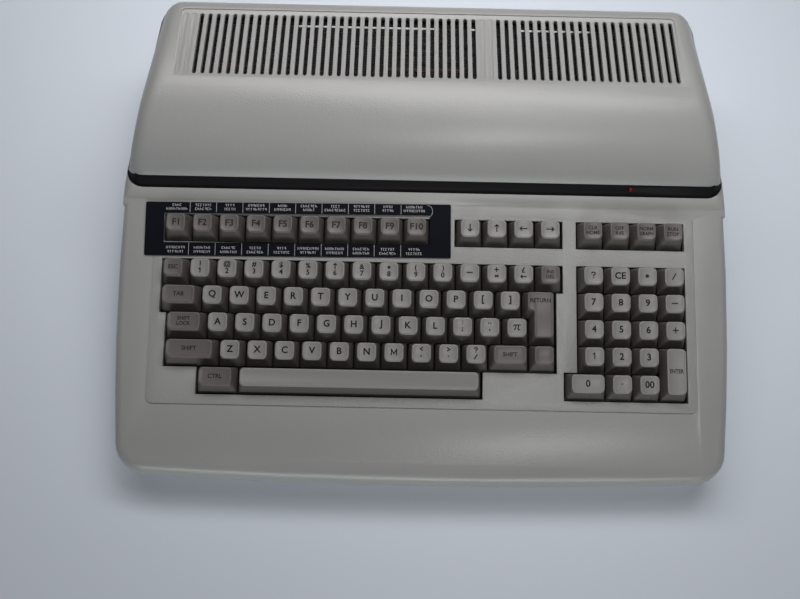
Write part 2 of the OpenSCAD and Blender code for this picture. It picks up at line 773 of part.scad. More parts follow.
// ---------- inside ----------
// Pierced sheet with a lip along its front and its rear edge
screen_half_w = field_half_w + 7;
screen_y = 1;
screen_d = vent_len + 4;
screen_lip = 5;
mesh_hole = [9, 6.2];
mesh_bar = 2.6;
mesh_pitch = mesh_hole + [mesh_bar, mesh_bar];
mesh_columns = floor((2 * screen_half_w - mesh_bar) / mesh_pitch.x);
mesh_rows = floor((screen_d - mesh_bar) / mesh_pitch.y);
mesh_clear = 8.5;
function mesh_at(i, j) = [
    (i - (mesh_columns - 1) / 2) * mesh_pitch.x,
    screen_y + screen_d / 2 + (j - (mesh_rows - 1) / 2) * mesh_pitch.y
];
module vent_screen() color(DARK)
    on_vents() {
        translate([0, 0, -screen_drop - screen_t])
            linear_extrude(screen_t)
                difference() {
                    translate([-screen_half_w, screen_y])
                        square([2 * screen_half_w, screen_d]);
                    for (p = screen_posts)
                        translate(p)
                            circle(r = screen_pin_r + seat / 2);
                    for (i = [0:mesh_columns - 1], j = [0:mesh_rows - 1])
                        if (min([for (p = screen_posts) norm(mesh_at(i, j) - p)]) > mesh_clear)
                            translate(mesh_at(i, j))
                                square(mesh_hole, center = true);
                }
        for (y = [screen_y, screen_y + screen_d - screen_t])
            translate([-screen_half_w, y, -screen_drop - screen_lip])
                cube([2 * screen_half_w, screen_t, screen_lip - screen_t / 2]);
    }

module key_plate() color(STEEL)
    on_deck()
        translate([0, 0, plate_top - plate_t])
            linear_extrude(plate_t)
                difference() {
                    translate([-plate_half_w, plate_front])
                        square([2 * plate_half_w, plate_rear - plate_front]);
                    for (c = switch_centres)
                        translate(c)
                            square(switch_w + 0.3, center = true);
                    for (at = plate_posts)
                        translate(at)
                            circle(r = plate_screw_r + 0.1);
                }

module key_circuit() color(BOARD_GREEN)
    on_deck()
        translate([-block_side, plate_front + 3, switch_base - board_t])
            cube([2 * block_side, plate_rear - plate_front - 6, board_t]);

module key_switches() color(DARK)
    on_deck()
        for (c = switch_centres)
            translate(c)
                difference() {
                    union() {
                        centred([switch_w + 1.7, switch_w + 1.7, 1], [0, 0, plate_top]);
                        centred([switch_w, switch_w, -switch_base + plate_top + 0.5], [0, 0, switch_base]);
                    }
                    centred([plunger_w + 2 * clear, plunger_w + 2 * clear, 20], [0, 0, switch_base + 0.4]);
                }

// Flat cable from the key circuit down to the main board, with a header at each end
ribbon_x = 70;
ribbon_w = 36;
ribbon_end = deck_to_plan(52, switch_base - board_t - 5);
ribbon_foot_z = board_top + 7;
function ribbon_point(i, off) = [
    ribbon_end.x + 7 * sin(180 * i) + off,
    ribbon_foot_z + (ribbon_end.y - ribbon_foot_z) * i
];
module key_ribbon() color(STEEL * 0.9) {
    on_plan()
        translate([ribbon_x - ribbon_w / 2, 0, 0])
            rotate([90, 0, 90])
                linear_extrude(ribbon_w)
                    polygon(concat(
                        [for (i = [0:10]) ribbon_point(i / 10, 0.5)],
                        [for (i = [10:-1:0]) ribbon_point(i / 10, -0.5)]
                    ));
    on_plan()
        centred([ribbon_w + 6, 8, 8], [ribbon_x, ribbon_end.x, board_top]);
    on_deck()
        centred([ribbon_w + 6, 8, 6], [ribbon_x, 52, switch_base - board_t - 6]);
}

module main_board() color(BOARD_GREEN)
    on_plan()
        translate([0, 0, board_z])
            linear_extrude(board_t)
                difference() {
                    translate([board_left, board_front])
                        square([board_right - board_left, board_rear - board_front]);
                    for (at = standoffs)
                        translate(at)
                            circle(r = screw_r + seat);
                }

// Packages on the main board: [x, y, width, depth]
CHIPS = [
    [-120, 64, 82, 19], [-20, 64, 52, 15], [20, 92, 15, 52], [50, 112, 15, 52],
    [-150, 112, 15, 52], [-118, 112, 15, 52], [-86, 112, 15, 52],
    for (i = [0:5]) [-62 + i * 12.5, 118, 8, 20],
    for (i = [0:15]) [-158 + i * 12.5, board_rear - 38, 8, 20],
    for (i = [0:3]) [-60 + i * 18, 92, 8, 20]
];
module board_chips() color(DARK)
    on_plan()
        for (c = CHIPS)
            centred([c[2], c[3], 4], [spread(c[0]), c[1], board_top]);

// Capacitors: [x, y, radius, height]
CAPACITORS = [
    [95, 69, 8, 18], [95, 93, 6.5, 20], [97, board_rear - 23, 4, 12], [84, board_rear - 23, 4, 12],
    [-20, 40, 3, 9]
];
module board_capacitors() color([0.2, 0.25, 0.4])
    on_plan()
        for (c = CAPACITORS)
            translate([spread(c[0]), c[1], board_top])
                cylinder(r = c[2], h = c[3]);

fin_count = 6;
fin_pitch = 4.4;
sink_len = 56;
module heat_sink() color(STEEL)
    on_plan()
        translate([spread(84), 130, board_top]) {
            centred([fin_count * fin_pitch, sink_len, 3]);
            for (i = [0:fin_count - 1])
                centred([1.6, sink_len, 26], [(i - (fin_count - 1) / 2) * fin_pitch, 0, 0]);
        }

// Laminated core with its winding, on a footed frame
module power_transformer() color([0.3, 0.3, 0.32])
    on_plan()
        translate([panel_half_w - 24, 138, floor_z]) {
            centred([64, 26, 52], [0, 0, 0]);
            centred([84, 22, 2.5], [0, 0, 0]);
            centred([34, 46, 30], [0, 0, 11]);
            centred([40, 50, 2], [0, 0, 9.5]);
            centred([40, 50, 2], [0, 0, 40.5]);
        }

// ---------- rear panel ----------
jack_spacing = 47.04;

// Recessed mains inlet with its three blades
module mains_inlet() color(DARK)
    on_panel(INLET.x, INLET.y) {
        difference() {
            union() {
                translate([-14, -20, -10.5])
                    cube([28, 20, 21]);
                translate([-20, -wall - 2, -12])
                    cube([40, 2, 24]);
            }
            rotate([90, 0, 0])
                translate([0, 0, -1])
                    linear_extrude(17)
                        polygon([[-12.2, -8], [12.2, -8], [12.2, 3], [7.4, 8], [-7.4, 8], [-12.2, 3]]);
        }
        for (b = [[-7, -2], [7, -2], [0, 2.5]])
            translate([b.x - 1, -17, b.y - 2])
                cube([2, 13, 4]);
    }

module fuse_holder() color(DARK)
    on_panel(FUSE.x, FUSE.y)
        difference() {
            union() {
                bar_y(6, 0, 8);
                bar_y(5, -5, 26);
                bar_y(8, -wall, 2);
            }
            translate([-4, -1.2, -0.8])
                cube([8, 3, 1.6]);
        }

// Power rocker in its housing; the pivot lies behind the face of the panel
pivot_depth = 5;
rocker_tilt = 8;
pin_r = 1.5;
module switch_housing() color(DARK)
    on_panel(ROCKER.x, ROCKER.y)
        difference() {
            union() {
                translate([-7.5, -14, -10.5])
                    cube([15, 14, 21]);
                translate([-9.5, -wall - 2, -12.5])
                    cube([19, 2, 25]);
            }
            translate([-4.8, -11, -8])
                cube([9.6, 12, 16]);
            translate([-7, -pivot_depth, 0])
                rotate([0, 90, 0])
                    cylinder(r = pin_r + clear, h = 14);
        }

module power_rocker() color([0.7, 0.12, 0.1])
    on_panel(ROCKER.x, ROCKER.y)
        translate([0, -pivot_depth, 0])
            rotate([-rocker_tilt, 0, 0]) {
                translate([-4.6, 0, 0])
                    rotate([90, 0, 90])
                        linear_extrude(9.2)
                            polygon([
                                [-3.5, -4], [-3.5, 4], [2.4, 7.2], [3.4, 7.2],
                                [2.6, 0], [3.4, -7.2], [2.4, -7.2]
                            ]);
                translate([-6.8, 0, 0])
                    rotate([0, 90, 0])
                        cylinder(r = pin_r, h = 13.6);
            }

reset_r = 2.4;
reset_stem_r = 1.4;
reset_travel = 1.5;
module reset_button() color([0.2, 0.25, 0.5])
    on_panel(RESET.x, RESET.y) {
        bar_y(reset_r, -1, 5.5);
        bar_y(reset_stem_r, -6, 7.5);
    }

module reset_switch() color(DARK)
    on_panel(RESET.x, RESET.y)
        difference() {
            translate([-6, -19, board_top - RESET.y])
                cube([12, 10.5, RESET.y + 5 - board_top]);
            bar_y(reset_stem_r + clear, -8, 9);
        }

module video_socket() color(STEEL)
    on_panel(VIDEO.x, VIDEO.y)
        difference() {
            union() {
                bar_y(7.4, 0, 9);
                translate([-9, -21, board_top - VIDEO.y])
                    cube([18, 21 - wall, VIDEO.y + 9 - board_top]);
            }
            difference() {
                bar_y(6.8, 1, 7);
                bar_y(5.9, 1, 7);
            }
            for (a = [0:45:315])
                rotate([0, a, 0])
                    translate([3.8, 0, 0])
                        bar_y(0.6, 1, 6, $fn = 8);
        }

module audio_jack() color(DARK)
    on_panel(AUDIO.x, AUDIO.y)
        difference() {
            union() {
                bar_y(4, 0, 6);
                translate([-6, -19, board_top - AUDIO.y])
                    cube([12, 19 - wall, AUDIO.y + 6 - board_top]);
            }
            bar_y(1.8, 1, 15);
        }

// Shell, pin block and flange of the 25-way port
flange_t = 1.6;
jack_shank_r = 1.9;
module serial_port() color(STEEL)
    on_panel(SERIAL.x, SERIAL.y)
        difference() {
            union() {
                rotate([90, 0, 0])
                    linear_extrude(12)
                        polygon([[-19.6, 4.2], [19.6, 4.2], [18.2, -4.2], [-18.2, -4.2]]);
                translate([-27, -wall - flange_t, -6.5])
                    cube([54, flange_t, 13]);
                translate([-20, -14, board_top - SERIAL.y])
                    cube([40, 14 - wall - 1, SERIAL.y + 5.5 - board_top]);
            }
            for (i = [0:24])
                translate([(i - 12) * 1.37, 0, i % 2 == 0 ? 1.4 : -1.4])
                    bar_y(0.55, 1, 6, $fn = 8);
            for (side = [-1, 1])
                translate([side * jack_spacing / 2, 0, 0])
                    bar_y(jack_shank_r + clear, 1, 12);
        }

// Hexagonal jack posts: head on the flange, shank through it, nut behind
module jack_posts() color(STEEL)
    on_panel(SERIAL.x, SERIAL.y)
        for (side = [-1, 1])
            translate([side * jack_spacing / 2, 0, 0])
                difference() {
                    union() {
                        bar_y(2.7, -0.4, wall - 0.4, $fn = 6);
                        bar_y(jack_shank_r, -1, 8.5);
                        bar_y(2.7, -wall - flange_t, 2.4, $fn = 6);
                    }
                    bar_y(1.3, 1, 10);
                }

module expansion_port() color(DARK)
    on_panel(EXPANSION.x, EXPANSION.y)
        difference() {
            union() {
                translate([-31, -12, -5.5])
                    cube([62, 12, 11]);
                translate([-34, -20, board_top - EXPANSION.y])
                    cube([68, 20 - wall, EXPANSION.y + 7 - board_top]);
            }
            translate([-27, -9, -1.2])
                cube([54, 12, 2.4]);
        }

// ---------- keys ----------
cap_base = -key_skirt;
cap_wall = 1.2;
ceiling_z = key_top_h - 2;
function ring_at(outline, z) = [for (p = outline) [p.x, p.y, z]];
function cap_box(key) = let (g = key_gap / 2) [
    key_x(key[0]) + g,
    key_y(key[1] + key[3] - 1) - key_pitch / 2 + g,
    key_x(key[0] + key[2]) - g,
    key_y(key[1]) + key_pitch / 2 - g
];
// Outside of a cap: a square foot drawn in to a rounded top that lies to the rear
module cap_form(key) {
    b = cap_box(key);
    skin(concat(
        ring_at(rounded_rect(b[0], b[1], b[2], b[3], 0.6, 1), cap_base),
        ring_at(rounded_rect(b[0] + flank_side, b[1] + flank_front, b[2] - flank_side, b[3] - 0.2,
            key_corner_r), key_top_h)
    ));
}
// Hollow under a cap
module cap_hollow(key) {
    b = cap_box(key);
    rise = (ceiling_z - cap_base) / (key_top_h - cap_base);
    side = cap_wall + flank_side * rise;
    front = cap_wall + flank_front * rise;
    skin(concat(
        ring_at([[b[0] + cap_wall, b[1] + cap_wall], [b[2] - cap_wall, b[1] + cap_wall],
            [b[2] - cap_wall, b[3] - cap_wall], [b[0] + cap_wall, b[3] - cap_wall]], cap_base - EPS),
        ring_at([[b[0] + side, b[1] + front], [b[2] - side, b[1] + front],
            [b[2] - side, b[3] - cap_wall], [b[0] + side, b[3] - cap_wall]], ceiling_z)
    ));
}
// Hollow of a cap's top, curved across the key
module cap_dish(key) {
    b = cap_box(key);
    half = (b[2] - b[0]) / 2 - flank_side;
    r = (half * half + dish_depth * dish_depth) / (2 * dish_depth);
    translate([(b[0] + b[2]) / 2, b[1] - 1, key_top_h - dish_depth + r])
        rotate([-90, 0, 0])
            cylinder(r = r, h = b[3] - b[1] + 2, $fn = 4 * ceil(220 / asin(half / r)));
}
module cap_plunger(key)
    translate(key_centre(key))
        centred([plunger_w, plunger_w, ceiling_z + 0.5 - plunger_base], [0, 0, plunger_base]);
module key_cap(key, dished = true) {
    difference() {
        cap_form(key);
        cap_hollow(key);
        if (dished)
            cap_dish(key);
    }
    cap_plunger(key);
}
module key_run(run)
    on_deck()
        for (i = [0:run[2] - 1])
            key_cap(key_of(run, i));

module space_bar() color(GREY_CAP) on_deck() key_cap(SPACE, false);
module return_key() color(GREY_CAP)
    on_deck() {
        difference() {
            union() {
                cap_form(RETURN_STEM);
                cap_form(RETURN_ARM);
            }
            cap_hollow(RETURN_STEM);
            cap_hollow(RETURN_ARM);
            cap_dish(RETURN_STEM);
        }
        cap_plunger(RETURN_STEM);
    }
module left_shift_key() color(GREY_CAP) on_deck() key_cap(LEFT_SHIFT);
module right_shift_key() color(GREY_CAP) on_deck() key_cap(RIGHT_SHIFT);
module shift_lock_key() color(GREY_CAP) on_deck() key_cap(SHIFT_LOCK);
module tab_key() color(GREY_CAP) on_deck() key_cap(TAB);
module control_key() color(GREY_CAP) on_deck() key_cap(CONTROL);
module escape_key() color(GREY_CAP) on_deck() key_cap(ESCAPE);
module insert_key() color(GREY_CAP) on_deck() key_cap(INSERT);
module system_key() color(GREY_CAP) on_deck() key_cap(SYSTEM);
module enter_key() color(GREY_CAP) on_deck() key_cap(ENTER);
module zero_key() color(CAP_COLOR) on_deck() key_cap(ZERO);
module left_function_keys() color(GREY_CAP) key_run(FUNCTION_LEFT);
module right_function_keys() color(GREY_CAP) key_run(FUNCTION_RIGHT);
module arrow_keys() color(CAP_COLOR) key_run(ARROWS);
module edit_keys() color(GREY_CAP) key_run(EDIT);
module left_number_keys() color(CAP_COLOR) key_run(NUMBERS_LEFT);
module right_number_keys() color(CAP_COLOR) key_run(NUMBERS_RIGHT);
module left_upper_letters() color(CAP_COLOR) key_run(UPPER_LEFT);
module right_upper_letters() color(CAP_COLOR) key_run(UPPER_RIGHT);
module left_home_letters() color(CAP_COLOR) key_run(HOME_LEFT);
module right_home_letters() color(CAP_COLOR) key_run(HOME_RIGHT);
module left_lower_letters() color(CAP_COLOR) key_run(LOWER_LEFT);
module right_lower_letters() color(CAP_COLOR) key_run(LOWER_RIGHT);
module pad_upper_keys() color(CAP_COLOR) {
    key_run(PAD_0);
    key_run(PAD_1);
}
module pad_lower_keys() color(CAP_COLOR) {
    key_run(PAD_2);
    key_run(PAD_3);
    key_run(PAD_4);
}

top_case();
bottom_case();
band_trim();
power_lamp();
lamp_holder();
key_card();
vent_screen();
key_plate();
key_circuit();
key_switches();
key_ribbon();
main_board();
board_chips();
board_capacitors();
heat_sink();
power_transformer();
mains_inlet();
fuse_holder();
switch_housing();
power_rocker();
reset_switch();
reset_button();
video_socket();
audio_jack();
serial_port();
jack_posts();
expansion_port();
feet();
case_screws();
plate_screws();
board_screws();
space_bar();
return_key();
left_shift_key();
right_shift_key();
shift_lock_key();
tab_key();
control_key();
escape_key();
insert_key();
system_key();
enter_key();
zero_key();
left_function_keys();
right_function_keys();
arrow_keys();
edit_keys();
left_number_keys();
right_number_keys();
left_upper_letters();
right_upper_letters();
left_home_letters();
right_home_letters();
left_lower_letters();
right_lower_letters();
pad_upper_keys();
pad_lower_keys();
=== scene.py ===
import json
import math

import bmesh
import bpy
from mathutils import Matrix, Vector

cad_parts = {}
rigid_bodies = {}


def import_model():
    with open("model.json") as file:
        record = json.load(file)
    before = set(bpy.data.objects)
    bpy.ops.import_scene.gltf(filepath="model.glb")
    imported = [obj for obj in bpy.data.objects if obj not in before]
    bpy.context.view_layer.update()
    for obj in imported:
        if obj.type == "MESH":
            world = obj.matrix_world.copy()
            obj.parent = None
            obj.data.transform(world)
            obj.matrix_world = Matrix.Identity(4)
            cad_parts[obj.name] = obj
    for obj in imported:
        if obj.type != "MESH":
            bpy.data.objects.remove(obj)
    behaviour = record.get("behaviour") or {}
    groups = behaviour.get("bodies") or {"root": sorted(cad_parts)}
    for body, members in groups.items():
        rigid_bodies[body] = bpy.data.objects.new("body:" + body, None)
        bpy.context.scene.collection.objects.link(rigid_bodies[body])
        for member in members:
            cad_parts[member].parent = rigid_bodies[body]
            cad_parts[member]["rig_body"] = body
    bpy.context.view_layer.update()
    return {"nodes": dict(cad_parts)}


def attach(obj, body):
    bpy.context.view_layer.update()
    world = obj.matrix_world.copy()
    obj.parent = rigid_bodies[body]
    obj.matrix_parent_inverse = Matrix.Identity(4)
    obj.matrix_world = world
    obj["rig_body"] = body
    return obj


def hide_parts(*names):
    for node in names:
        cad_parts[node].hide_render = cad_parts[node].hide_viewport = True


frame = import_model()
nodes = frame["nodes"]


# ---------------------------------------------------------------- Lower moulding
# The tray under the computer and the rear panel with its openings are one injection
# moulding in light warm-grey styrene, a shade flatter than the top. The upper moulding
# sits on its rim, and six screws come up through it.
# Depth of the pits of a grain as a share of their size, and clouds of mottle to a metre
PIT_DEPTH, CLOUDS_TO_A_METRE = 0.3, 18


def finish(
    name, colour, roughness, metallic=0.0, grain=0.0, grain_size=0.001, mottle=0.0, gloss=0.5
):
    """A material; grain is the strength of its moulded relief, mottle its change of shade."""
    material = bpy.data.materials.new(name)
    material.use_nodes = True
    tree = material.node_tree
    shader = tree.nodes["Principled BSDF"]
    shader.inputs["Base Color"].default_value = (*colour, 1)
    shader.inputs["Roughness"].default_value = roughness
    shader.inputs["Metallic"].default_value = metallic
    shader.inputs["Specular IOR Level"].default_value = gloss
    place = tree.nodes.new("ShaderNodeTexCoord")
    if grain:
        pits = tree.nodes.new("ShaderNodeTexNoise")
        pits.inputs["Scale"].default_value = 1 / grain_size
        pits.inputs["Detail"].default_value = 3
        relief = tree.nodes.new("ShaderNodeBump")
        relief.inputs["Strength"].default_value = grain
        relief.inputs["Distance"].default_value = grain_size * PIT_DEPTH
        tree.links.new(place.outputs["Object"], pits.inputs["Vector"])
        tree.links.new(pits.outputs["Fac"], relief.inputs["Height"])
        tree.links.new(relief.outputs["Normal"], shader.inputs["Normal"])
    if mottle:
        cloud = tree.nodes.new("ShaderNodeTexNoise")
        cloud.inputs["Scale"].default_value = CLOUDS_TO_A_METRE
        cloud.inputs["Detail"].default_value = 4
        shade = tree.nodes.new("ShaderNodeValToRGB")
        darkest, lightest = shade.color_ramp.elements
        darkest.position = 0.3
        lightest.position = 0.7
        darkest.color = (*[c * (1 - mottle) for c in colour], 1)
        lightest.color = (*[c * (1 + mottle) for c in colour], 1)
        tree.links.new(place.outputs["Object"], cloud.inputs["Vector"])
        tree.links.new(cloud.outputs["Fac"], shade.inputs["Fac"])
        tree.links.new(shade.outputs["Color"], shader.inputs["Base Color"])
    return material


SHADED_SHARP_FROM = math.radians(32)


def show(piece_bm, name, materials, node):
    """Makes a piece from its bmesh; it stands for the CAD node and moves with it."""
    mesh = bpy.data.meshes.new(name)
    piece_bm.to_mesh(mesh)
    piece_bm.free()
    for material in materials:
        mesh.materials.append(material)
    mesh.shade_smooth()
    mesh.set_sharp_from_angle(angle=SHADED_SHARP_FROM)
    piece = bpy.data.objects.new(name, mesh)
    bpy.context.scene.collection.objects.link(piece)
    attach(piece, nodes[node]["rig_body"])
    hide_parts(node)


def round_edges(bm, edges, width, steps):
    """Rounds edges of a bmesh by a width in its own units."""
    bmesh.ops.bevel(
        bm, geom=edges, offset=width, segments=steps, profile=0.5, affect="EDGES",
        clamp_overlap=True, material=-1,
    )


WELD = 3e-6
FLAT_WITHIN = math.radians(0.4)
EASED_FROM = math.radians(38)


def eased(node, width):
    """A merged copy of a CAD node's mesh with its sharp edges eased by width metres."""
    piece = bmesh.new()
    piece.from_mesh(nodes[node].data)
    bmesh.ops.remove_doubles(piece, verts=piece.verts, dist=WELD)
    bmesh.ops.dissolve_limit(
        piece, angle_limit=FLAT_WITHIN, verts=piece.verts, edges=piece.edges
    )
    sharp = [
        e for e in piece.edges
        if len(e.link_faces) == 2 and e.calc_face_angle(0) > EASED_FROM
    ]
    round_edges(piece, sharp, width, 2)
    return piece


case_grey = (0.354, 0.354, 0.347)
tray_plastic = finish(
    "tray plastic", [c * 0.95 for c in case_grey], 0.55, grain=0.25, grain_size=0.0009
)
show(eased("bottom_case", 0.0003), "tray", [tray_plastic], "bottom_case")


# ---------------------------------------------------------------- Feet
# Four black rubber buttons are pressed into the tray, one near each corner. They narrow
# towards the table.
def dress(node, material):
    """Gives its finish to a CAD node that is shown as it is."""
    nodes[node].data.materials.clear()
    nodes[node].data.materials.append(material)


foot_rubber = finish("foot rubber", (0.03, 0.03, 0.03), 0.85)
dress("feet", foot_rubber)

# ---------------------------------------------------------------- Boards and power supply
# Under the hood: a green main board with black packages, capacitors in blue sleeves, a
# finned aluminium cooler and the transformer. They show only as glints behind the slots.
solder_resist = finish("solder resist", (0.03, 0.13, 0.05), 0.4)
dress("main_board", solder_resist)
dress("key_circuit", solder_resist)
package_black = finish("package black", (0.02, 0.02, 0.022), 0.5)
dress("board_chips", package_black)
dress("board_capacitors", finish("capacitor sleeve", (0.03, 0.05, 0.2), 0.3))
dress("heat_sink", finish("extruded aluminium", (0.6, 0.6, 0.61), 0.4, metallic=1.0))
dress("power_transformer", finish("varnished laminations", (0.12, 0.1, 0.09), 0.5, metallic=0.5))
dress("key_ribbon", finish("flat cable", (0.35, 0.35, 0.36), 0.5))
zinc_steel = finish("zinc-plated steel", (0.55, 0.55, 0.54), 0.38, metallic=1.0)
for screws in ("board_screws", "plate_screws", "case_screws"):
    dress(screws, zinc_steel)

# ---------------------------------------------------------------- Rear sockets
# A row of sockets stands flush in the rear panel: mains inlet, fuse, rocker, reset, two
# ports, video and audio. Their bodies are black mouldings, their shells plated steel.
socket_black = finish("socket black", (0.022, 0.022, 0.024), 0.42)
for socket in ("fuse_holder", "reset_switch", "audio_jack", "expansion_port"):
    dress(socket, socket_black)
for name, socket in (("inlet", "mains_inlet"), ("rocker_frame", "switch_housing")):
    show(eased(socket, 0.0002), name, [socket_black], socket)
for shell in ("video_socket", "serial_port", "jack_posts"):
    dress(shell, zinc_steel)
rocker_red = finish("rocker red", (0.42, 0.02, 0.015), 0.3)
show(eased("power_rocker", 0.0003), "rocker", [rocker_red], "power_rocker")
dress("reset_button", finish("button blue", (0.03, 0.05, 0.25), 0.35))

# ---------------------------------------------------------------- Upper moulding
# Deck, ledge and hood are one moulding, 3 mm thick, in light warm-grey styrene with a fine
# leather grain. The grain is coarser on the key panel inside the groove.
case_plastic = finish(
    "case plastic", case_grey, 0.29, grain=0.35, grain_size=0.0013, mottle=0.02
)
PANEL_HALF_WIDTH, PANEL_FRONT, PANEL_REAR = 0.1945, -0.1208, 0.0177
PANEL_GRAIN = 0.65


def coarser_panel(material):
    """Deepens the grain inside the groove, by the place on the object."""
    tree = material.node_tree
    place = next(n for n in tree.nodes if n.type == "TEX_COORD")
    relief = next(n for n in tree.nodes if n.type == "BUMP")
    split = tree.nodes.new("ShaderNodeSeparateXYZ")
    tree.links.new(place.outputs["Object"], split.inputs["Vector"])

    def step(operation, first, second, third=0.0):
        """One sum in the material; it takes numbers and the results of other sums."""
        node = tree.nodes.new("ShaderNodeMath")
        node.operation = operation
        for entry, value in zip(node.inputs, (first, second, third)):
            if isinstance(value, float):
                entry.default_value = value
            else:
                tree.links.new(value, entry)
        return node.outputs[0]

    across = step("COMPARE", split.outputs["X"], 0.0, PANEL_HALF_WIDTH)
    middle, reach = (PANEL_FRONT + PANEL_REAR) / 2, (PANEL_REAR - PANEL_FRONT) / 2
    along = step("COMPARE", split.outputs["Y"], middle, reach)
    inside_groove = step("MULTIPLY", across, along)
    base = relief.inputs["Strength"].default_value
    strength = step("MULTIPLY_ADD", inside_groove, PANEL_GRAIN, base)
    tree.links.new(strength, relief.inputs["Strength"])


coarser_panel(case_plastic)
show(eased("top_case", 0.0003), "case_top", [case_plastic], "top_case")

# ---------------------------------------------------------------- Vent screen
# A black steel sheet hangs on six posts under the slots and keeps fingers out. Its openings
# are covered with fine black netting. The near black of sheet and net is partly painted shade,
# the darkness inside the vents. A near-white strip under the net is a painted glint of the light
# that shines in from behind, and red wires cross it.
# Near black for the black steel, and also painted shade for the darkness inside the vents
screen_black_and_shade = finish("screen black and shade", (0.006, 0.005, 0.008), 0.7, gloss=0.2)
# Near white: a painted glint of the light that shines in from behind, not a real strap
painted_glint_strip = finish("painted glint strip", (0.85, 0.86, 0.9), 0.35, metallic=0.3)
# The net is near black, partly as painted shade inside the vents
net_wire_black_and_shade = finish("net wire", (0.04, 0.036, 0.045), 0.5)
wire_red = finish("wire red", (0.12, 0.012, 0.016), 0.4)
SCREEN, GLINT_STRIP, NET, RED = range(4)
VENTS_FRONT, VENTS_FALL = (0, 0.10225, 0.0933), math.radians(-5.2)
millimetres = Matrix.Scale(0.001, 4)
vents = Matrix.Translation(VENTS_FRONT) @ Matrix.Rotation(VENTS_FALL, 4, "X") @ millimetres
screen_bm = eased("vent_screen", 0.0001)


def rod(middle, size, material):
    """Adds a square bar to the screen, in millimetres from the front edge of the vents."""
    bar = bmesh.ops.create_cube(screen_bm, size=1)["verts"]
    for v in bar:
        v.co = vents @ Vector([m + c * s for m, c, s in zip(middle, v.co, size)])
    for f in {f for v in bar for f in v.link_faces}:
        f.material_index = material


NET_PITCH, NET_ROWS, NET_COLUMNS = 1.45, 38, 256
NET_WIDTH, NET_LENGTH, NET_WIRE = 372, 56, 0.2
ROWS_WIRE, COLUMNS_WIRE = 0.32, 0.28
NET_LEFT, NET_FRONT, NET_MIDDLE = -184.8, 2.6, 29.8
ROWS_HEIGHT, COLUMNS_HEIGHT = -5.7, -5.9
for row in range(NET_ROWS):
    y = NET_FRONT + row * NET_PITCH
    rod((0, y, ROWS_HEIGHT), (NET_WIDTH, ROWS_WIRE, NET_WIRE), NET)
for column in range(NET_COLUMNS):
    x = NET_LEFT + column * NET_PITCH
    rod((x, NET_MIDDLE, COLUMNS_HEIGHT), (COLUMNS_WIRE, NET_LENGTH, NET_WIRE), SCREEN)

# The stretches of the painted glint strip and of the wires that show, from left to right
GLINT_STRETCHES, GLINT_LINE, GLINT_WIDTH = ((-95, 8), (30, 50), (65, 120)), 50.6, 1.5
RED_STRETCHES, RED_LINE, RED_WIDTH = ((-150, -128), (-30, 24), (60, 66)), 14, 0.9
ACROSS_HEIGHT, ACROSS_THICKNESS = -5.3, 0.5
for stretches, line, width, material in (
    (GLINT_STRETCHES, GLINT_LINE, GLINT_WIDTH, GLINT_STRIP),
    (RED_STRETCHES, RED_LINE, RED_WIDTH, RED),
):
    for start, end in stretches:
        middle = ((start + end) / 2, line, ACROSS_HEIGHT)
        rod(middle, (end - start, width, ACROSS_THICKNESS), material)
screen_finishes = [screen_black_and_shade, painted_glint_strip, net_wire_black_and_shade, wire_red]
show(screen_bm, "vent_net", screen_finishes, "vent_screen")

# ---------------------------------------------------------------- Band and lamp
# A black strip with a low sheen lies in the channel between deck and hood, with a red lamp
# near its right end.
band_black = finish("band black", (0.008, 0.007, 0.009), 0.5, gloss=0.12)
show(eased("band_trim", 0.0003), "band", [band_black], "band_trim")
dress("lamp_holder", socket_black)
lamp_red = finish("lamp red", (0.14, 0.002, 0.008), 0.3, gloss=0.25)
dress("power_lamp", lamp_red)

# ---------------------------------------------------------------- Key plate and switches
# The switches snap into a black steel plate, which is screwed to posts under the deck.
# Both show only as darkness between the keys.
dress("key_plate", finish("plate black", (0.03, 0.03, 0.03), 0.5, metallic=0.6))
dress("key_switches", package_black)

# ---------------------------------------------------------------- Card round the function keys
# A stiff printed sheet, near black, lies loose on the deck with the ten function keys coming
# up through its window. White rules part its ten columns, each with two rows of plain ticks
# at its head and two at its foot, and an arc of dashes closes its right end.
DECK_MIDDLE, DECK_TILT = (0, -0.04375, 0.047), math.radians(8)
to_deck = Matrix.Translation(DECK_MIDDLE) @ Matrix.Rotation(DECK_TILT, 4, "X") @ millimetres
CARD_WIDTH, CARD_DEPTH, CARD_THICKNESS, CARD_CORNER = 220, 39, 0.8, 1.0
CARD_MIDDLE, CARD_LIFT = (-90.84, 48.535), 0.01
CARD_TURN, CARD_SLOPE = math.radians(0.6), math.radians(1.407)
card_place = (
    to_deck
    @ Matrix.Translation((*CARD_MIDDLE, 0))
    @ Matrix.Rotation(CARD_TURN, 4, "Z")
    @ Matrix.Translation((0, -CARD_DEPTH / 2, CARD_LIFT))
    @ Matrix.Rotation(CARD_SLOPE, 4, "X")
)
# Left, right, front and rear edge of the window, from the middle of the card's front edge
WINDOW = (-96.7, 94.7, 9.7, 31.1)


def cut_through(bm, place, normal):
    """Cuts the faces of a bmesh along a plane, and keeps both sides."""
    bmesh.ops.bisect_plane(
        bm, geom=bm.verts[:] + bm.edges[:] + bm.faces[:], dist=0.001,
        plane_co=place, plane_no=normal,
    )


def in_window(spot):
    """Tells whether a point of the card lies inside its window."""
    left, right, front, rear = WINDOW
    return left < spot.x < right and front < spot.y < rear


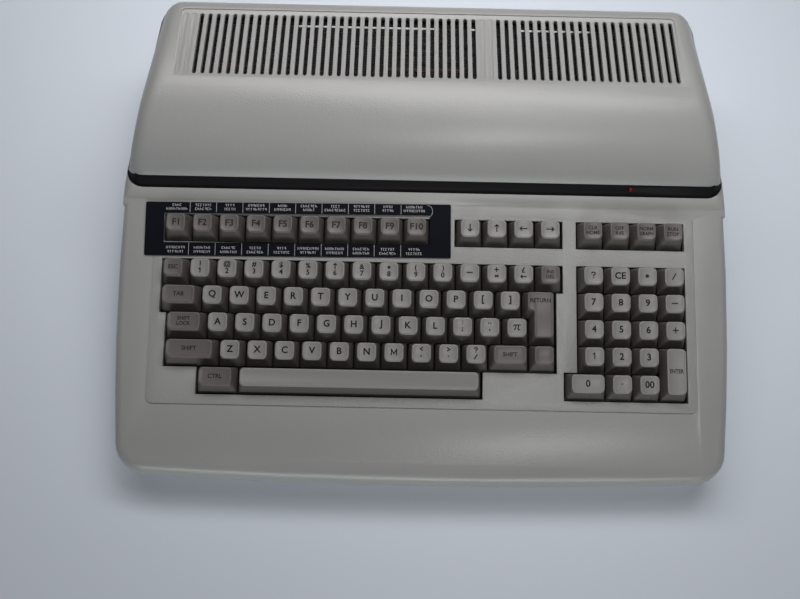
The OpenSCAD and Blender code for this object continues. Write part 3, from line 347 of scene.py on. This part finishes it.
card_bm = bmesh.new()
bmesh.ops.create_grid(card_bm, x_segments=1, y_segments=1, size=0.5)
for v in card_bm.verts:
    v.co = Vector((v.co.x * CARD_WIDTH, (v.co.y + 0.5) * CARD_DEPTH, 0))
for line, side in zip(WINDOW, ((1, 0, 0), (1, 0, 0), (0, 1, 0), (0, 1, 0))):
    cut_through(card_bm, Vector(side) * line, side)
opening = [f for f in card_bm.faces if in_window(f.calc_center_median())]
bmesh.ops.delete(card_bm, geom=opening, context="FACES")
lifted = bmesh.ops.extrude_face_region(card_bm, geom=card_bm.faces[:])["geom"]
upper_verts = [v for v in lifted if isinstance(v, bmesh.types.BMVert)]
bmesh.ops.translate(card_bm, verts=upper_verts, vec=(0, 0, CARD_THICKNESS))
corners = [
    e for e in card_bm.edges
    if abs(e.verts[0].co.z - e.verts[1].co.z) > 0.1
    and abs(e.verts[0].co.x) > CARD_WIDTH / 2 - CARD_CORNER
    and e.verts[0].co.y in (0, CARD_DEPTH)
]
round_edges(card_bm, corners, CARD_CORNER, 4)
bmesh.ops.recalc_face_normals(card_bm, faces=card_bm.faces[:])
card_bm.transform(card_place)
card_sheet = finish("card sheet", (0.004, 0.005, 0.009), 0.7, gloss=0.1)
show(card_bm, "card_sheet", [card_sheet], "key_card")
print_bm = bmesh.new()
INK_LIFT = 0.03


def printed_bar(x, y, width, height, turn=0.0):
    """A flat bar of white ink; x and y are its middle on the card, in millimetres."""
    bar = bmesh.ops.create_grid(print_bm, x_segments=1, y_segments=1, size=0.5)["verts"]
    for v in bar:
        spot = Vector((v.co.x * width, v.co.y * height, CARD_THICKNESS + INK_LIFT))
        spot.rotate(Matrix.Rotation(turn, 3, "Z"))
        v.co = card_place @ (spot + Vector((x, y, 0)))


COLUMN, COLUMNS, FIRST_COLUMN = 19.02, 10, -87.7
FIRST_RULE, RULE_WIDTH = -78.2, 0.28
# Middle and height of a rule's stretch before the window and of its stretch behind it
RULE_STRETCHES = ((4.9, 8.6), (35.2, 7.4))
for rule in range(COLUMNS - 1):
    for y, height in RULE_STRETCHES:
        printed_bar(FIRST_RULE + rule * COLUMN, y, RULE_WIDTH, height)
# Each tick is an upright with one or two short bars: (x, y, width, height)
TICKS = [
    [(-0.45, 0, 0.34, 1.8), (0.1, 0.75, 0.8, 0.3), (0.1, -0.75, 0.8, 0.3)],
    [(-0.45, 0, 0.34, 1.8), (0.45, 0, 0.34, 1.8)],
    [(0, 0, 0.34, 1.8), (0, 0.75, 1.1, 0.3)],
    [(-0.45, 0, 0.34, 1.8), (0.1, 0, 0.8, 0.3), (0.45, -0.4, 0.3, 1.0)],
    [(0.45, 0, 0.34, 1.8), (-0.1, 0.75, 0.8, 0.3), (-0.1, 0, 0.8, 0.3)],
]
TICK_ROWS, TICK_PITCH = (36.9, 34.1, 5.9, 2.9), 1.72
FEWEST_TICKS, TICK_COUNTS = 4, 6
for column in range(COLUMNS):
    middle = FIRST_COLUMN + column * COLUMN
    for row, y in enumerate(TICK_ROWS):
        count = FEWEST_TICKS + (column * 3 + row * 5 + column * row) % TICK_COUNTS
        for i in range(count):
            x = middle + (i - (count - 1) / 2) * TICK_PITCH
            tick = TICKS[(column * 7 + row * 3 + i * (i + 2)) % len(TICKS)]
            for dx, dy, width, height in tick:
                printed_bar(x + dx, y + dy, width, height)
ARC_X, ARC_Y, ARC_RADIUS = 92.2, 33.9, 4.6
DASHES, DASH_WIDTH, DASH_LENGTH = 7, 0.24, 1.9
FIRST_SWING, SWING_STEP = 72, 21
for i in range(DASHES):
    swing = math.radians(FIRST_SWING - i * SWING_STEP)
    x, y = ARC_X + ARC_RADIUS * math.cos(swing), ARC_Y + ARC_RADIUS * math.sin(swing)
    printed_bar(x, y, DASH_WIDTH, DASH_LENGTH, swing)
card_print = bpy.data.meshes.new("card_print")
print_bm.to_mesh(card_print)
print_bm.free()
card_print.materials.append(finish("card ink", (0.5, 0.5, 0.53), 0.5))
card_print_piece = bpy.data.objects.new("card_print", card_print)
bpy.context.scene.collection.objects.link(card_print_piece)
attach(card_print_piece, "case")

# ---------------------------------------------------------------- Keys
# Each cap is a styrene moulding: a dark skirt with steep sides and, shot into it, a top
# with round corners, hollowed across the key. Letters, digits, arrows and the other pad keys
# have light tops, the others brown-grey ones. The enter key is grey, but its top is painted in
# the lighter space bar plastic for the brighter light on the right. Legends are printed on the
# hollow.
skirt_plastic = finish("skirt plastic", (0.099, 0.088, 0.079), 0.5, grain=0.2, grain_size=0.0006)
TOP_GRAIN = {"grain": 0.15, "grain_size": 0.0006}
light_top = finish("light cap plastic", (0.264, 0.256, 0.247), 0.36, **TOP_GRAIN)
grey_top = finish("grey cap plastic", (0.135, 0.124, 0.12), 0.38, **TOP_GRAIN)
# Also laid on the grey enter key, where its lightness is painted light for the brighter right side
space_and_lit_enter_top = finish("space bar and lit enter plastic", (0.268, 0.262, 0.252), 0.4, **TOP_GRAIN)
legend_ink = finish("legend ink", (0.008, 0.008, 0.01), 0.6, gloss=0.2)
faint_ink = finish("faint legend ink", (0.026, 0.023, 0.023), 0.6, gloss=0.2)
pale_ink = finish("pale legend ink", (0.22, 0.24, 0.27), 0.5)
SKIRT, TOP, INK, PALE = range(4)

# Heights over the deck, in millimetres
SKIRT_FOOT, SHOT_LINE, CROWN = -2.5, 7.2, 8.0
# A rim stands round the crown: a level part, and a slope down to the hollow
RIM_LEVEL, RIM_SLOPE, RIM_DROP = 0.3, 0.45, 0.22
HOLLOW, HOLLOW_STEPS, FLANK_LEAN = 0.7, 12, 0.55
# Round of an upright corner, the share of it left at the foot, and round of the crown's edge
CAP_CORNER, FOOT_CORNER_SHARE, CROWN_EDGE = 3.1, 0.35, 0.6
# Heights that differ by less than this count as equal
HAIR = 0.01


def add_to(bm, part):
    """Adds the faces of a bmesh to another one, and frees it."""
    mesh = bpy.data.meshes.new("part")
    part.to_mesh(mesh)
    part.free()
    bm.from_mesh(mesh)
    bpy.data.meshes.remove(mesh)


def hollow_depth(x, crown):
    """Depth of the hollow at a place across a crown."""
    low, high = min(p[0] for p in crown), max(p[0] for p in crown)
    t = (2 * x - low - high) / (high - low)
    return HOLLOW * max(0, 1 - t * t)


def hollow_out(piece, crown):
    """Sinks the top of a cap into a hollow across the key; its front edge slides down the flank."""
    low, high = min(p[0] for p in crown), max(p[0] for p in crown)
    front, back = min(p[1] for p in crown), max(p[1] for p in crown)
    for i in range(1, HOLLOW_STEPS):
        cut_through(piece, (low + (high - low) * i / HOLLOW_STEPS, 0, 0), (1, 0, 0))
    for v in piece.verts:
        if v.co.z > SHOT_LINE - HAIR:
            sunk = hollow_depth(v.co.x, crown)
            v.co.z -= sunk
            fore = max(0, (front + back) / 2 - v.co.y) * 2 / (back - front)
            v.co.y -= sunk * FLANK_LEAN * fore


def moulded_cap(bm, foot, crown, hollow=True):
    """Adds a cap to bm; its outlines run from the front left, counter-clockwise."""
    piece = bmesh.new()
    base = piece.faces.new([piece.verts.new((x, y, SKIRT_FOOT)) for x, y in foot])
    base.normal_flip()
    risen = bmesh.ops.extrude_face_region(piece, geom=[base])["geom"]
    for v in risen:
        if isinstance(v, bmesh.types.BMVert):
            nearest = min(range(len(foot)), key=lambda i: (Vector(foot[i]) - v.co.xy).length)
            v.co = (*crown[nearest], CROWN)
    upright = [e for e in piece.edges if abs(e.verts[0].co.z - e.verts[1].co.z) > CROWN / 2]
    round_edges(piece, upright, CAP_CORNER, 6)
    for v in piece.verts:
        if v.co.z < 0:
            corner = min((Vector(p) for p in foot), key=lambda p: (p - v.co.xy).length)
            v.co.xy = corner + (v.co.xy - corner) * FOOT_CORNER_SHARE
    cut_through(piece, (0, 0, SHOT_LINE), (0, 0, 1))
    for f in piece.faces:
        f.material_index = TOP if min(v.co.z for v in f.verts) > SHOT_LINE - HAIR else SKIRT
    rim = [e for e in piece.edges if min(v.co.z for v in e.verts) > CROWN - HAIR]
    round_edges(piece, rim, CROWN_EDGE, 3)
    table = [f for f in piece.faces if min(v.co.z for v in f.verts) > CROWN - HAIR]
    for width in (RIM_LEVEL, RIM_SLOPE):
        bmesh.ops.inset_region(piece, faces=table, thickness=width, use_even_offset=True)
    for v in table[0].verts:
        v.co.z -= RIM_DROP
    if hollow:
        hollow_out(piece, crown)
    bmesh.ops.recalc_face_normals(piece, faces=piece.faces[:])
    add_to(bm, piece)


def print_on(bm, ink, crown):
    """Lays flat ink on the hollow of a crown, and adds it to bm."""
    for v in ink.verts:
        v.co.z = CROWN - RIM_DROP + INK_LIFT - hollow_depth(v.co.x, crown)
    for f in ink.faces:
        f.material_index = INK
        f.normal_update()
        if f.normal.z < 0:
            f.normal_flip()
    add_to(bm, ink)


def stroke(bm, start, end, weight, overrun, pieces):
    """Adds a flat bar from start to end, longer by overrun in all, and gives its verts."""
    turn = (end - start).angle_signed(Vector((1, 0)))
    bar = bmesh.ops.create_grid(bm, x_segments=pieces, y_segments=1, size=0.5)["verts"]
    for v in bar:
        spot = Vector((v.co.x * ((end - start).length + overrun), v.co.y * weight))
        spot.rotate(Matrix.Rotation(turn, 2))
        v.co = ((start + end) / 2 + spot).to_3d()
    return bar


# Signs drawn in strokes, in millimetres round the middle of the sign
SIGNS = {
    "−": [[(-1.9, 0), (1.9, 0)]],
    "+": [[(-1.8, 0), (1.8, 0)], [(0, -1.8), (0, 1.8)]],
    "=": [[(-1.5, 0.6), (1.5, 0.6)], [(-1.5, -0.6), (1.5, -0.6)]],
    "/": [[(-1.2, -2), (1.2, 2)]],
    "*": [[(-1.1, 0), (1.1, 0)], [(-0.55, -0.95), (0.55, 0.95)], [(-0.55, 0.95), (0.55, -0.95)]],
    ".": [[(-0.2, 0), (0.2, 0)]],
    ",": [[(0.1, 0.3), (-0.3, -0.7)]],
    "'": [[(0.1, 0.4), (-0.1, -0.5)]],
    '"': [[(-0.9, 0.3), (-0.9, -0.4)], [(0.9, 0.3), (0.9, -0.4)]],
    ":": [[(-0.1, 1.1), (0.1, 1.1)], [(-0.1, -1.1), (0.1, -1.1)]],
    ";": [[(-0.1, 1.1), (0.1, 1.1)], [(0.1, -0.8), (-0.3, -1.7)]],
    "<": [[(1.2, 1.4), (-1.2, 0), (1.2, -1.4)]],
    ">": [[(-1.2, 1.4), (1.2, 0), (-1.2, -1.4)]],
    "!": [[(0, 2), (0, -0.8)], [(-0.1, -1.9), (0.1, -1.9)]],
    "?": [
        [
            (-1.3, 1.1), (-0.9, 1.8), (0, 2.1), (0.9, 1.8),
            (1.2, 1.1), (0.9, 0.4), (0, -0.2), (0, -0.8),
        ],
        [(-0.1, -1.95), (0.1, -1.95)],
    ],
    "1": [[(-0.9, 1.3), (0.1, 2), (0.1, -2)]],
    "M": [[(-1.8, -2.05), (-1.8, 1.95), (0, -1.3), (1.8, 1.95), (1.8, -2.05)]],
    "←": [[(-2.5, 0), (2.5, 0)], [(-1.2, 1.3), (-2.5, 0), (-1.2, -1.3)]],
    "→": [[(-2.5, 0), (2.5, 0)], [(1.2, 1.3), (2.5, 0), (1.2, -1.3)]],
    "↑": [[(0, -2.5), (0, 2.5)], [(-1.3, 1.2), (0, 2.5), (1.3, 1.2)]],
    "↓": [[(0, -2.5), (0, 2.5)], [(-1.3, -1.2), (0, -2.5), (1.3, -1.2)]],
    "π": [
        [(-2.4, 0.9), (-1.8, 1.5), (2.5, 1.6)],
        [(-0.5, 1.4), (-0.9, -0.6), (-1.7, -1.9)],
        [(1.2, 1.4), (0.8, -1.2), (1.2, -1.9), (1.9, -1.7)],
    ],
}
WEIGHT = 0.78
OVERRUN = WEIGHT * 0.75


def signed(bm, sign, scale, spot, crown):
    """Prints one of the signs round a spot of a crown."""
    ink = bmesh.new()
    for points in SIGNS[sign]:
        for start, end in zip(points, points[1:]):
            ends = Vector(start) * scale, Vector(end) * scale
            for v in stroke(ink, *ends, WEIGHT, OVERRUN, 3):
                v.co += Vector((*spot, 0))
    print_on(bm, ink, crown)


BOLDER = 0.027
LEGEND_MARGIN = 1.7


def letters(bm, text, size, spot, crown):
    """Prints one line of letters round a spot of a crown, squeezed where it is too long."""
    curve = bpy.data.curves.new("legend", "FONT")
    curve.body = text
    curve.size = size
    curve.offset = BOLDER * size
    curve.resolution_u = 3
    glyphs = bpy.data.objects.new("legend", curve)
    bpy.context.scene.collection.objects.link(glyphs)
    mesh = bpy.data.meshes.new_from_object(glyphs)
    bpy.data.objects.remove(glyphs)
    ink = bmesh.new()
    ink.from_mesh(mesh)
    bpy.data.meshes.remove(mesh)
    left, right = min(v.co.x for v in ink.verts), max(v.co.x for v in ink.verts)
    front, rear = min(v.co.y for v in ink.verts), max(v.co.y for v in ink.verts)
    bmesh.ops.translate(ink, verts=ink.verts, vec=(-(left + right) / 2, -(front + rear) / 2, 0))
    room = max(p[0] for p in crown) - min(p[0] for p in crown) - 2 * LEGEND_MARGIN
    bmesh.ops.scale(ink, verts=ink.verts, vec=(min(1, room / (right - left)), 1, 1))
    bmesh.ops.translate(ink, verts=ink.verts, vec=(*spot, 0))
    print_on(bm, ink, crown)


# Small marks of one or two lines on the front flanks. A line is the x and the height of
# one end and of the other, in millimetres round the middle of the flank.
FLANK_MARKS = [
    [(-0.9, 0, 0.9, 0)],
    [(0, -0.7, 0, 0.7)],
    [(-0.7, -0.5, 0.7, -0.5), (0.7, -0.5, 0.7, 0.5)],
    [(-0.6, -0.6, 0.6, 0.6)],
    [(-0.8, 0.3, 0.8, 0.3), (-0.8, -0.3, 0.8, -0.3)],
]
FLANK_WEIGHT, FLANK_OVERRUN, FLANK_LIFT, FLANK_LENGTH = 0.36, 0.3, 0.04, 12
# How far the crown stands in from the foot of a cap
SIDE_TAPER, FRONT_TAPER, REAR_TAPER = 2.5, 5.8, 0.2


def flank_mark(bm, foot, index):
    """Prints a small pale mark half way up the front flank of a cap."""
    middle = (foot[0][0] + foot[1][0]) / 2
    for x0, up0, x1, up1 in FLANK_MARKS[index % len(FLANK_MARKS)]:
        ends = Vector((x0, up0)), Vector((x1, up1))
        bar = stroke(bm, *ends, FLANK_WEIGHT, FLANK_OVERRUN, 1)
        for v in bar:
            rise = 0.5 + v.co.y / FLANK_LENGTH
            y = foot[0][1] + FRONT_TAPER * rise - FLANK_LIFT
            v.co = Vector((middle + v.co.x, y, SKIRT_FOOT + (CROWN - SKIRT_FOOT) * rise))
        for f in {f for v in bar for f in v.link_faces}:
            f.material_index = PALE
            f.normal_update()
            if f.normal.y > 0:
                f.normal_flip()


PITCH, KEY_GAP = 19.05, 0.5
HALF_CAP = PITCH / 2 - KEY_GAP
COLUMN_AT_MIDDLE, FIRST_ROW_PLACE = 9.3, -2.8


def key_x(u):
    """Place across the deck of the left edge of column u, in millimetres."""
    return (u - COLUMN_AT_MIDDLE) * PITCH


def key_y(v):
    """Place along the deck of the middle of row v, in millimetres; row 0 holds the digits."""
    return (1 - v) * PITCH + FIRST_ROW_PLACE


def cap_outlines(u, v, width, depth):
    """Foot and crown of a plain cap, in millimetres on the deck."""
    x0, x1 = key_x(u) + KEY_GAP, key_x(u + width) - KEY_GAP
    y0, y1 = key_y(v + depth - 1) - HALF_CAP, key_y(v) + HALF_CAP
    foot = [(x0, y0), (x1, y0), (x1, y1), (x0, y1)]
    left, right, front, rear = x0 + SIDE_TAPER, x1 - SIDE_TAPER, y0 + FRONT_TAPER, y1 - REAR_TAPER
    return foot, [(left, front), (right, front), (right, rear), (left, rear)]


# Height of the characters of a legend, and how far two lines lie from the crown's middle
SIGN_SIZE, SMALL_SIGN_SIZE, SIGN_SHIFTS = 6.5, 5.1, (2.5, -2.2)
WORD_SIZE, SMALL_WORD_SIZE, WORD_SHIFTS = 4.1, 3.6, (1.8, -1.8)


def print_legend(bm, legend, crown):
    """Prints a legend on a crown; an upright bar in it parts its two lines."""
    x, y = (crown[0][0] + crown[1][0]) / 2, (crown[0][1] + crown[2][1]) / 2
    lines = legend.split("|")
    pair = len(lines) == 2
    for i, line in enumerate(lines):
        if len(line) > 1 and line.isalpha() and line != "CE":
            size, shift = (SMALL_WORD_SIZE, WORD_SHIFTS[i]) if pair else (WORD_SIZE, 0)
        else:
            size, shift = (SMALL_SIGN_SIZE, SIGN_SHIFTS[i]) if pair else (SIGN_SIZE, 0)
        if line in SIGNS:
            signed(bm, line, size / SIGN_SIZE, (x, y + shift), crown)
        else:
            letters(bm, line, size, (x, y + shift), crown)


def key_set(node, keys, top, ink, hollow=True):
    """Makes the caps of one CAD node; each key is column, row, width, depth and legend."""
    bm = bmesh.new()
    for u, v, width, depth, legend in keys:
        foot, crown = cap_outlines(u, v, width, depth)
        moulded_cap(bm, foot, crown, hollow)
        if top == light_top and v >= 0:
            flank_mark(bm, foot, int(u * 3 + v * 2))
        if legend:
            print_legend(bm, legend, crown)
    bm.transform(to_deck)
    show(bm, node + "_caps", [skirt_plastic, top, ink, pale_ink], node)


def run_of(u, v, legends):
    """Single keys side by side from column u on, one for each legend."""
    return [(u + i, v, 1, 1, legend) for i, legend in enumerate(legends.split())]


light_runs = {
    "arrow_keys": run_of(10.5, -1.7, "↓ ↑ ← →"),
    "left_number_keys": run_of(0.5, 0, "!|1 @|2 #|3 $|4 %|5 ↑|6"),
    "right_number_keys": run_of(6.5, 0, "&|7 *|8 (|9 )|0 − +|= £|←"),
    "left_upper_letters": run_of(1, 1, "Q W E R T Y"),
    "right_upper_letters": run_of(7, 1, "U I O P [ ]"),
    "left_home_letters": run_of(1.25, 2, "A S D F G H"),
    "right_home_letters": run_of(7.25, 2, "J K L :|; \"|' π"),
    "left_lower_letters": run_of(1.75, 3, "Z X C V B"),
    "right_lower_letters": run_of(6.75, 3, "N M <|, >|. ?|/"),
    "pad_upper_keys": run_of(15.1, 0, "? CE * /") + run_of(15.1, 1, "7 8 9 −"),
    "pad_lower_keys": (
        run_of(15.1, 2, "4 5 6 +") + run_of(15.1, 3, "1 2 3") + run_of(16.1, 4, ". 00")
    ),
    "zero_key": [(14.6, 4, 1.5, 1, "0")],
}
for node, keys in light_runs.items():
    key_set(node, keys, light_top, legend_ink)
grey_runs = {
    "left_function_keys": run_of(-0.5, -1.7, "F1 F2 F3 F4 F5"),
    "right_function_keys": run_of(4.5, -1.7, "F6 F7 F8 F9 F10"),
    "edit_keys": run_of(15.1, -1.7, "CLR|HOME OFF|RVS NORM|GRAPH RUN|STOP"),
    "escape_key": [(-0.5, 0, 1, 1, "ESC")],
    "insert_key": [(13.5, 0, 1, 1, "INS|DEL")],
    "tab_key": [(-0.5, 1, 1.5, 1, "TAB")],
    "shift_lock_key": [(-0.25, 2, 1.5, 1, "SHIFT|LOCK")],
    "left_shift_key": [(-0.25, 3, 2, 1, "SHIFT")],
    "right_shift_key": [(11.75, 3, 1.5, 1, "SHIFT")],
    "system_key": [(13.25, 3, 1, 1, "")],
    "control_key": [(1, 4, 1.5, 1, "CTRL")],
}
for node, keys in grey_runs.items():
    key_set(node, keys, grey_top, faint_ink)
# The enter key is grey; its lighter top paints the brighter light on the right of the keys
key_set("enter_key", [(18.1, 3, 1, 2, "ENTER")], space_and_lit_enter_top, faint_ink)
key_set("space_bar", [(2.5, 4, 9, 1, "")], space_and_lit_enter_top, faint_ink, hollow=False)

# The return key is two rows deep, with an arm to the left in the upper row.
arm_x, stem_x, end_x = key_x(13) + KEY_GAP, key_x(13.25) + KEY_GAP, key_x(14.25) - KEY_GAP
front_y, arm_y, rear_y = key_y(2) - HALF_CAP, key_y(1) - HALF_CAP, key_y(1) + HALF_CAP
return_foot = [
    (stem_x, front_y), (end_x, front_y), (end_x, rear_y),
    (arm_x, rear_y), (arm_x, arm_y), (stem_x, arm_y),
]
return_crown = [
    (stem_x + SIDE_TAPER, front_y + FRONT_TAPER), (end_x - SIDE_TAPER, front_y + FRONT_TAPER),
    (end_x - SIDE_TAPER, rear_y - REAR_TAPER), (arm_x + SIDE_TAPER, rear_y - REAR_TAPER),
    (arm_x + SIDE_TAPER, arm_y + FRONT_TAPER), (stem_x + SIDE_TAPER, arm_y + FRONT_TAPER),
]
WORD_FROM_REAR = 6
return_bm = bmesh.new()
moulded_cap(return_bm, return_foot, return_crown)
word_spot = ((arm_x + end_x) / 2, rear_y - WORD_FROM_REAR)
letters(return_bm, "RETURN", WORD_SIZE, word_spot, return_crown)
return_bm.transform(to_deck)
return_finishes = [skirt_plastic, grey_top, faint_ink]
show(return_bm, "return_cap", return_finishes, "return_key")

# ---------------------------------------------------------------- Table, light and camera
# A pale table top, six soft lamps and the camera, which looks down from over the front of
# the computer. Four lamps stand behind it, one far in front of it, and a narrow one
# overhead lays the glare on the hood.
TABLE_HALF_WIDTH = 4
floor_bm = bmesh.new()
bmesh.ops.create_grid(floor_bm, x_segments=1, y_segments=1, size=TABLE_HALF_WIDTH)
floor_mesh = bpy.data.meshes.new("table top")
floor_bm.to_mesh(floor_mesh)
floor_bm.free()
floor_mesh.materials.append(finish("table white", (0.8, 0.86, 0.95), 0.5))
floor = bpy.data.objects.new("table_top", floor_mesh)
bpy.context.scene.collection.objects.link(floor)

SKY_TINT, SKY_STRENGTH = (0.85, 0.92, 1.0, 1), 0.02
world = bpy.data.worlds.new("sky")
bpy.context.scene.world = world
world.use_nodes = True
world.node_tree.nodes["Background"].inputs["Color"].default_value = SKY_TINT
world.node_tree.nodes["Background"].inputs["Strength"].default_value = SKY_STRENGTH


def soft_lamp(name, place, aim, width, depth, watts, tint):
    """Adds an elliptical lamp that shines from place towards aim and isn't seen itself."""
    data = bpy.data.lights.new(name, "AREA")
    data.shape = "ELLIPSE"
    data.size = width
    data.size_y = depth
    data.energy = watts
    data.color = tint
    lamp = bpy.data.objects.new(name, data)
    turn = (Vector(place) - Vector(aim)).to_track_quat("Z", "Y")
    lamp.matrix_world = Matrix.Translation(place) @ turn.to_matrix().to_4x4()
    lamp.visible_camera = False
    bpy.context.scene.collection.objects.link(lamp)


LAMP_TINT, DAY_TINT = (1.0, 0.985, 0.985), (0.95, 1.0, 0.985)
DECK, BOARD, HOOD = (0, 0, 0.05), (0, 0.1, 0.05), (0, 0.1, 0.09)
soft_lamp("hood_lamp", (0.05, 0.2, 0.6), HOOD, 0.6, 0.1, 0.5, LAMP_TINT)
soft_lamp("rear_lamp", (0.05, 0.32, 0.5), BOARD, 0.8, 0.15, 1.75, LAMP_TINT)
soft_lamp("left_lamp", (-0.45, 0.45, 0.6), BOARD, 0.35, 0.35, 0.62, LAMP_TINT)
soft_lamp("window", (0.45, 0.75, 1.0), BOARD, 0.7, 0.7, 0.8, DAY_TINT)
soft_lamp("front_lamp", (0, -2.6, 0.36), DECK, 3.3, 0.47, 27, DAY_TINT)
soft_lamp("ceiling_lamp", (0.25, -0.38, 1.2), DECK, 0.5, 0.06, 2.2, LAMP_TINT)
bpy.context.scene.view_settings.view_transform = "Standard"

LENS, SENSOR_WIDTH, NEAREST = 30.6, 36, 0.01
CAMERA_PLACE = (-0.0181, -0.16724, 0.51637)
CAMERA_RIGHT, CAMERA_AHEAD = (0.99979, 0.01893, 0.00836), (0.00329, 0.25365, -0.96729)
camera_data = bpy.data.cameras.new("camera")
camera_data.lens = LENS
camera_data.sensor_width = SENSOR_WIDTH
camera_data.clip_start = NEAREST
camera = bpy.data.objects.new("camera", camera_data)
ahead = Vector(CAMERA_AHEAD).normalized()
up = Vector(CAMERA_RIGHT).cross(ahead).normalized()
turned = Matrix((ahead.cross(up), up, -ahead)).transposed().to_4x4()
camera.matrix_world = Matrix.Translation(CAMERA_PLACE) @ turned
bpy.context.scene.collection.objects.link(camera)
bpy.context.scene.camera = camera
